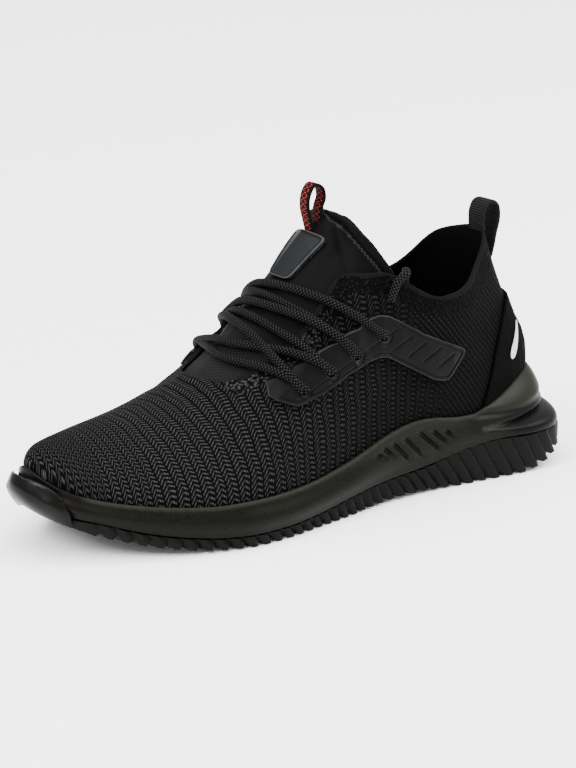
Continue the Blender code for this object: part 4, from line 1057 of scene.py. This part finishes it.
def build_heel_loop():
    """The ribbed loop at the heel's top."""
    obj = ribbon("webbing_heel_loop", HEEL_LOOP, 11.5 * MM, WEBBING_THICKNESS)
    return complete(obj, 50, webbing_finish(), "heel_pull_loop", "webbing")


SIDES = {1: "lateral", -1: "medial"}
# The eyelets in side view, (x, z) in millimetres, from the front up
EYELETS = ((114.9, 64.0), (99.6, 70.7), (83.7, 76.2), (66.6, 82.2))
# Each strand: lateral eyelet and its place in the hole in millimetres, where it crosses the ridge,
# medial eyelet and its place, and how far it rides over the strand below it
STRANDS = (
    (0, -1.0, 133.2, 0, -1.3, 0.0),
    (1, -1.0, 126.9, 0, 1.3, 1.2),
    (0, 1.3, 120.0, 1, -2.3, 2.4),
    (1, 1.3, 115.8, 1, 0.0, 0.4),
    (2, -1.3, 110.7, 1, 2.3, 1.6),
    (2, 1.3, 106.8, 2, -1.0, 0.2),
    (3, 0.0, 102.3, 2, 1.3, 0.6),
)
# In millimetres: how far outside the shoe rays start, how high a strand's first two points lie over
# the hole that it comes out of, how high the hole's edge holds it up, and how far out over a strand
# the rays start that find what is under it; and the number of a strand's steps
OUTSIDE = 300
HOLE_HEIGHTS = (0.2, 1.6)
HOLE_EDGE = 2.6
STRAND_RAYS = 60
STRAND_STEPS = 12


def surface_at(tree, start, direction):
    """Where a ray from a place in millimetres meets a surface, with the surface's normal."""
    place, normal, _, _ = tree.ray_cast(Vector(start) * MM, Vector(direction))
    return np.array(place), np.array(normal)


def beside_at(tree, x, z, side):
    """Where a side view place lies on a surface, with the surface's normal."""
    return surface_at(tree, (x, side * OUTSIDE, z), (0, -side, 0))


def strand_route(ground, stays, strand, radius):
    """From one eyelet over the tongue to the other, lying on what is under it."""
    lateral, lateral_place, ridge, medial, medial_place, lift = strand
    crown, crown_normal = surface_at(ground, (ridge, 0, OUTSIDE), (0, 0, -1))
    halves = []
    for side, number, place in ((1, lateral, lateral_place), (-1, medial, medial_place)):
        x, z = EYELETS[number]
        start, normal = beside_at(ground, x + place, z, side)
        facing = normal + crown_normal
        facing /= np.linalg.norm(facing)
        shares, targets = [0.0], []
        heights = [HOLE_EDGE * MM + 0.4 * radius]
        for step in range(1, STRAND_STEPS):
            share = step / STRAND_STEPS
            target = start + (crown - start) * share
            ray_start = Vector(target + facing * STRAND_RAYS * MM)
            hits = [tree.ray_cast(ray_start, Vector(-facing))[0] for tree in (ground, stays[side])]
            rises = [(np.array(hit) - target) @ facing for hit in hits if hit is not None]
            arch = math.sin(math.pi * min(1.0, share * 1.3) * 0.5)
            shares.append(share)
            targets.append(target)
            heights.append(max(rises, default=0.0) + radius + lift * MM * arch)
        tight = taut(shares + [1.0], heights + [radius + lift * MM])
        half = [start + normal * height * MM for height in HOLE_HEIGHTS]
        half += [target + facing * height for target, height in zip(targets, tight[1:-1])]
        halves.append(half)
    top = crown + crown_normal * (radius + lift * MM)
    return halves[0] + [top] + halves[1][::-1]


def taut(places, heights):
    """The heights of a string pulled tight over these."""
    hull = []
    for place, height in zip(places, heights):
        while len(hull) > 1:
            (x0, y0), (x1, y1) = hull[-2:]
            if (y1 - y0) * (place - x0) > (height - y0) * (x1 - x0):
                break
            hull.pop()
        hull.append((place, height))
    return np.interp(places, [point[0] for point in hull], [point[1] for point in hull])


def even_out(route, rounds):
    """Softens a route's bends, with its two points at each end kept."""
    route = np.array(route)
    for _ in range(rounds):
        route[2:-2] = (route[1:-3] + 2 * route[2:-2] + route[3:-1]) / 4
    return route


def join(pieces):
    """Joins the pieces into the first one."""
    only(pieces[0])
    for obj in pieces:
        obj.select_set(True)
    bpy.ops.object.join()
    return pieces[0]


# Heights over the tongue of the hidden end's stub in the medial top eyelet, in millimetres
STUB_HEIGHTS = (-0.6, 0.4, 1.4, 2.4, 3.0)
STUB_THINNER = 0.95


def build_laces(settings):
    """The crossed strands, each out of one stay's hole, over the tongue and into the other's."""
    under = join([copy_of("upper", "lace_ground"), copy_of("tongue", "lace_ground_tongue")])
    ground = tree_of(under)
    bpy.data.objects.remove(under, do_unlink=True)
    stays = {side: tree_of(bpy.data.objects["lace_stay_" + name]) for side, name in SIDES.items()}
    place, normal = beside_at(ground, *EYELETS[-1], -1)
    stub = [place + normal * height * MM for height in STUB_HEIGHTS]
    made = [tube("lace_hidden_end", stub, settings.radius * STUB_THINNER, settings.sides)]
    for number, strand in enumerate(STRANDS):
        route = even_out(strand_route(ground, stays, strand, settings.radius), 3)
        name = f"lace_strand_{number + 1}"
        made.append(tube(name, curve_through(route, 4), settings.radius, settings.sides))
    obj = join(made)
    obj.name = "crossed_laces"
    return complete(obj, 60, shared("lace", lace_finish), "lace_crossings", "lace")


# The loose end's middle line in metres: from under the stay's top over the collar's notch
LACE_END = (
    (0.0609, 0.0367, 0.0977), (0.0589, 0.0366, 0.1021), (0.0562, 0.0364, 0.1065),
    (0.0515, 0.0363, 0.1093), (0.0485, 0.0325, 0.1095), (0.0463, 0.0290, 0.1062),
    (0.0458, 0.0285, 0.1005), (0.0460, 0.0288, 0.0940), (0.0466, 0.0293, 0.0875),
)


def build_lace_end(settings):
    """The lace's loose end, over the collar and down inside."""
    route = curve_through(LACE_END, 5)
    obj = tube("lace_loose_end", route, settings.radius, settings.sides)
    complete(obj, 60, shared("lace", lace_finish), "lace_end", "lace")
    return obj


# The camera, as fitted to the photograph: degrees round from the lateral side and up, metres, millimetres
CAMERA_AZIMUTH = 37
CAMERA_ELEVATION = 16
CAMERA_DISTANCE = 1.5
CAMERA_TARGET = (0.090, 0.0, 0.050)
CAMERA_LENS = 147.5
CAMERA_SHIFT = (-0.0079, 0.0106)
FLOOR_SIZE = 30
FLOOR_DROP = 0.0004
WORLD_STRENGTH = 1.4
SKY_STRENGTH = 6.5
SKY_SPREAD = 70
SKY_PLACE = (0.5, 0.1, 2.0)
# The round lamps: name, place and width in metres, power in watts
LAMPS = (
    ("key_lamp", (1.5, 0.3, 1.1), 0.7, 34),
    ("back_lamp", (-1.1, 0.5, 1.2), 0.7, 34),
)


def build_stage():
    """White paper, soft lamps around it and the camera."""
    bpy.ops.mesh.primitive_plane_add(size=FLOOR_SIZE, location=(0, 0, -FLOOR_DROP))
    floor = bpy.context.object
    floor.name = "studio_floor"
    dress(floor, floor_finish())
    world = bpy.context.scene.world or bpy.data.worlds.new("studio")
    bpy.context.scene.world = world
    world.use_nodes = True
    background = world.node_tree.nodes["Background"]
    background.inputs["Color"].default_value = linear("#ffffff")
    background.inputs["Strength"].default_value = WORLD_STRENGTH
    sky = bpy.data.lights.new("sky_lamp", "SUN")
    sky.energy = SKY_STRENGTH
    sky.angle = math.radians(SKY_SPREAD)
    add_lamp(sky, SKY_PLACE)
    for name, place, size, power in LAMPS:
        lamp = bpy.data.lights.new(name, "AREA")
        lamp.energy = power
        lamp.shape = "DISK"
        lamp.size = size
        add_lamp(lamp, place)
    add_camera()


def add_lamp(lamp, place):
    """Hangs a lamp at a place, turned towards the shoe."""
    holder = bpy.data.objects.new(lamp.name, lamp)
    holder.location = place
    facing = Vector(CAMERA_TARGET) - Vector(place)
    holder.rotation_euler = facing.to_track_quat("-Z", "Y").to_euler()
    bpy.context.scene.collection.objects.link(holder)


def add_camera():
    """The camera at its place, level and looking at its target."""
    azimuth, elevation = math.radians(CAMERA_AZIMUTH), math.radians(CAMERA_ELEVATION)
    level = math.cos(elevation)
    back = Vector((math.sin(azimuth) * level, math.cos(azimuth) * level, math.sin(elevation)))
    right = Vector((-math.cos(azimuth), math.sin(azimuth), 0))
    turn = Matrix((right, back.cross(right), back)).transposed().to_4x4()
    place = Vector(CAMERA_TARGET) + back * CAMERA_DISTANCE
    data = bpy.data.cameras.new("camera")
    data.sensor_fit = "AUTO"
    data.sensor_width = 36
    data.lens = CAMERA_LENS
    data.shift_x, data.shift_y = CAMERA_SHIFT
    data.clip_end = 60
    camera = bpy.data.objects.new("camera", data)
    camera.matrix_world = Matrix.Translation(place) @ turn
    bpy.context.scene.collection.objects.link(camera)
    bpy.context.scene.camera = camera


def finished(obj):
    """The operators' answer, once their piece has come out with a shape."""
    if obj is None or not len(obj.data.vertices):
        raise RuntimeError("a piece came out empty")
    return {"FINISHED"}


class SNEAKER_OT_upper(bpy.types.Operator):
    """Builds the knit upper"""

    bl_idname = "sneaker.upper"
    bl_label = "Knit upper"

    def execute(self, context):
        return finished(build_upper(context.scene.sneaker_knit))


class SNEAKER_OT_tongue(bpy.types.Operator):
    """Builds the tongue"""

    bl_idname = "sneaker.tongue"
    bl_label = "Tongue"

    def execute(self, context):
        return finished(build_tongue())


class SNEAKER_OT_midsole(bpy.types.Operator):
    """Builds the foam midsole"""

    bl_idname = "sneaker.midsole"
    bl_label = "Midsole"

    def execute(self, context):
        return finished(build_midsole(context.scene.sneaker_sole))


class SNEAKER_OT_outsole(bpy.types.Operator):
    """Builds the ribbed outsole and the toe bumper"""

    bl_idname = "sneaker.outsole"
    bl_label = "Outsole and bumper"

    def execute(self, context):
        finished(build_outsole(context.scene.sneaker_sole))
        return finished(build_bumper())


class SNEAKER_OT_insole(bpy.types.Operator):
    """Builds the insole"""

    bl_idname = "sneaker.insole"
    bl_label = "Insole"

    def execute(self, context):
        return finished(build_insole())


class SNEAKER_OT_stays(bpy.types.Operator):
    """Builds both moulded lace stays"""

    bl_idname = "sneaker.stays"
    bl_label = "Lace stays"

    def execute(self, context):
        finished(build_stay("lateral", context.scene.sneaker_overlay))
        return finished(build_stay("medial", context.scene.sneaker_overlay))


class SNEAKER_OT_heel(bpy.types.Operator):
    """Builds the heel counter and its reflective strips"""

    bl_idname = "sneaker.heel"
    bl_label = "Heel counter and strips"

    def execute(self, context):
        finished(build_counter())
        finished(build_strip("lateral"))
        return finished(build_strip("medial"))


class SNEAKER_OT_badge(bpy.types.Operator):
    """Builds the plaque on the tongue"""

    bl_idname = "sneaker.badge"
    bl_label = "Plaque"

    def execute(self, context):
        return finished(build_badge())


class SNEAKER_OT_loops(bpy.types.Operator):
    """Builds the two pull loops"""

    bl_idname = "sneaker.loops"
    bl_label = "Pull loops"

    def execute(self, context):
        finished(build_tongue_loop())
        return finished(build_heel_loop())


class SNEAKER_OT_laces(bpy.types.Operator):
    """Builds the crossed laces and the loose end, after the stays"""

    bl_idname = "sneaker.laces"
    bl_label = "Laces"

    def execute(self, context):
        finished(build_laces(context.scene.sneaker_lace))
        return finished(build_lace_end(context.scene.sneaker_lace))


class SNEAKER_OT_stage(bpy.types.Operator):
    """Adds the floor, the lamps and the camera"""

    bl_idname = "sneaker.stage"
    bl_label = "Stage"

    def execute(self, context):
        build_stage()
        if context.scene.camera is None:
            raise RuntimeError("the camera is missing")
        return {"FINISHED"}


OPERATORS = (
    SNEAKER_OT_upper,
    SNEAKER_OT_tongue,
    SNEAKER_OT_midsole,
    SNEAKER_OT_outsole,
    SNEAKER_OT_insole,
    SNEAKER_OT_stays,
    SNEAKER_OT_heel,
    SNEAKER_OT_badge,
    SNEAKER_OT_loops,
    SNEAKER_OT_laces,
    SNEAKER_OT_stage,
)
SETTINGS = {
    "sneaker_knit": SneakerKnitSettings,
    "sneaker_sole": SneakerSoleSettings,
    "sneaker_overlay": SneakerOverlaySettings,
    "sneaker_lace": SneakerLaceSettings,
}


class SNEAKER_PT_panel(bpy.types.Panel):
    """The sneaker's settings and the buttons that build it"""

    bl_label = "Sneaker"
    bl_idname = "SNEAKER_PT_panel"
    bl_space_type = "VIEW_3D"
    bl_region_type = "UI"
    bl_category = "Sneaker"

    def draw(self, context):
        for name, settings in SETTINGS.items():
            group = getattr(context.scene, name)
            for field in settings.__annotations__:
                self.layout.prop(group, field)
        for operator in OPERATORS:
            self.layout.operator(operator.bl_idname)


def register():
    for name, settings in SETTINGS.items():
        bpy.utils.register_class(settings)
        setattr(bpy.types.Scene, name, bpy.props.PointerProperty(type=settings))
    for operator in OPERATORS:
        bpy.utils.register_class(operator)
    bpy.utils.register_class(SNEAKER_PT_panel)


def unregister():
    bpy.utils.unregister_class(SNEAKER_PT_panel)
    for operator in reversed(OPERATORS):
        bpy.utils.unregister_class(operator)
    for name, settings in SETTINGS.items():
        delattr(bpy.types.Scene, name)
        bpy.utils.unregister_class(settings)


def main():
    register()
    bpy.ops.sneaker.upper()
    bpy.ops.sneaker.tongue()
    bpy.ops.sneaker.midsole()
    bpy.ops.sneaker.outsole()
    bpy.ops.sneaker.insole()
    bpy.ops.sneaker.stays()
    bpy.ops.sneaker.heel()
    bpy.ops.sneaker.badge()
    bpy.ops.sneaker.loops()
    bpy.ops.sneaker.laces()
    bpy.ops.sneaker.stage()


if __name__ == "__main__":
    main()
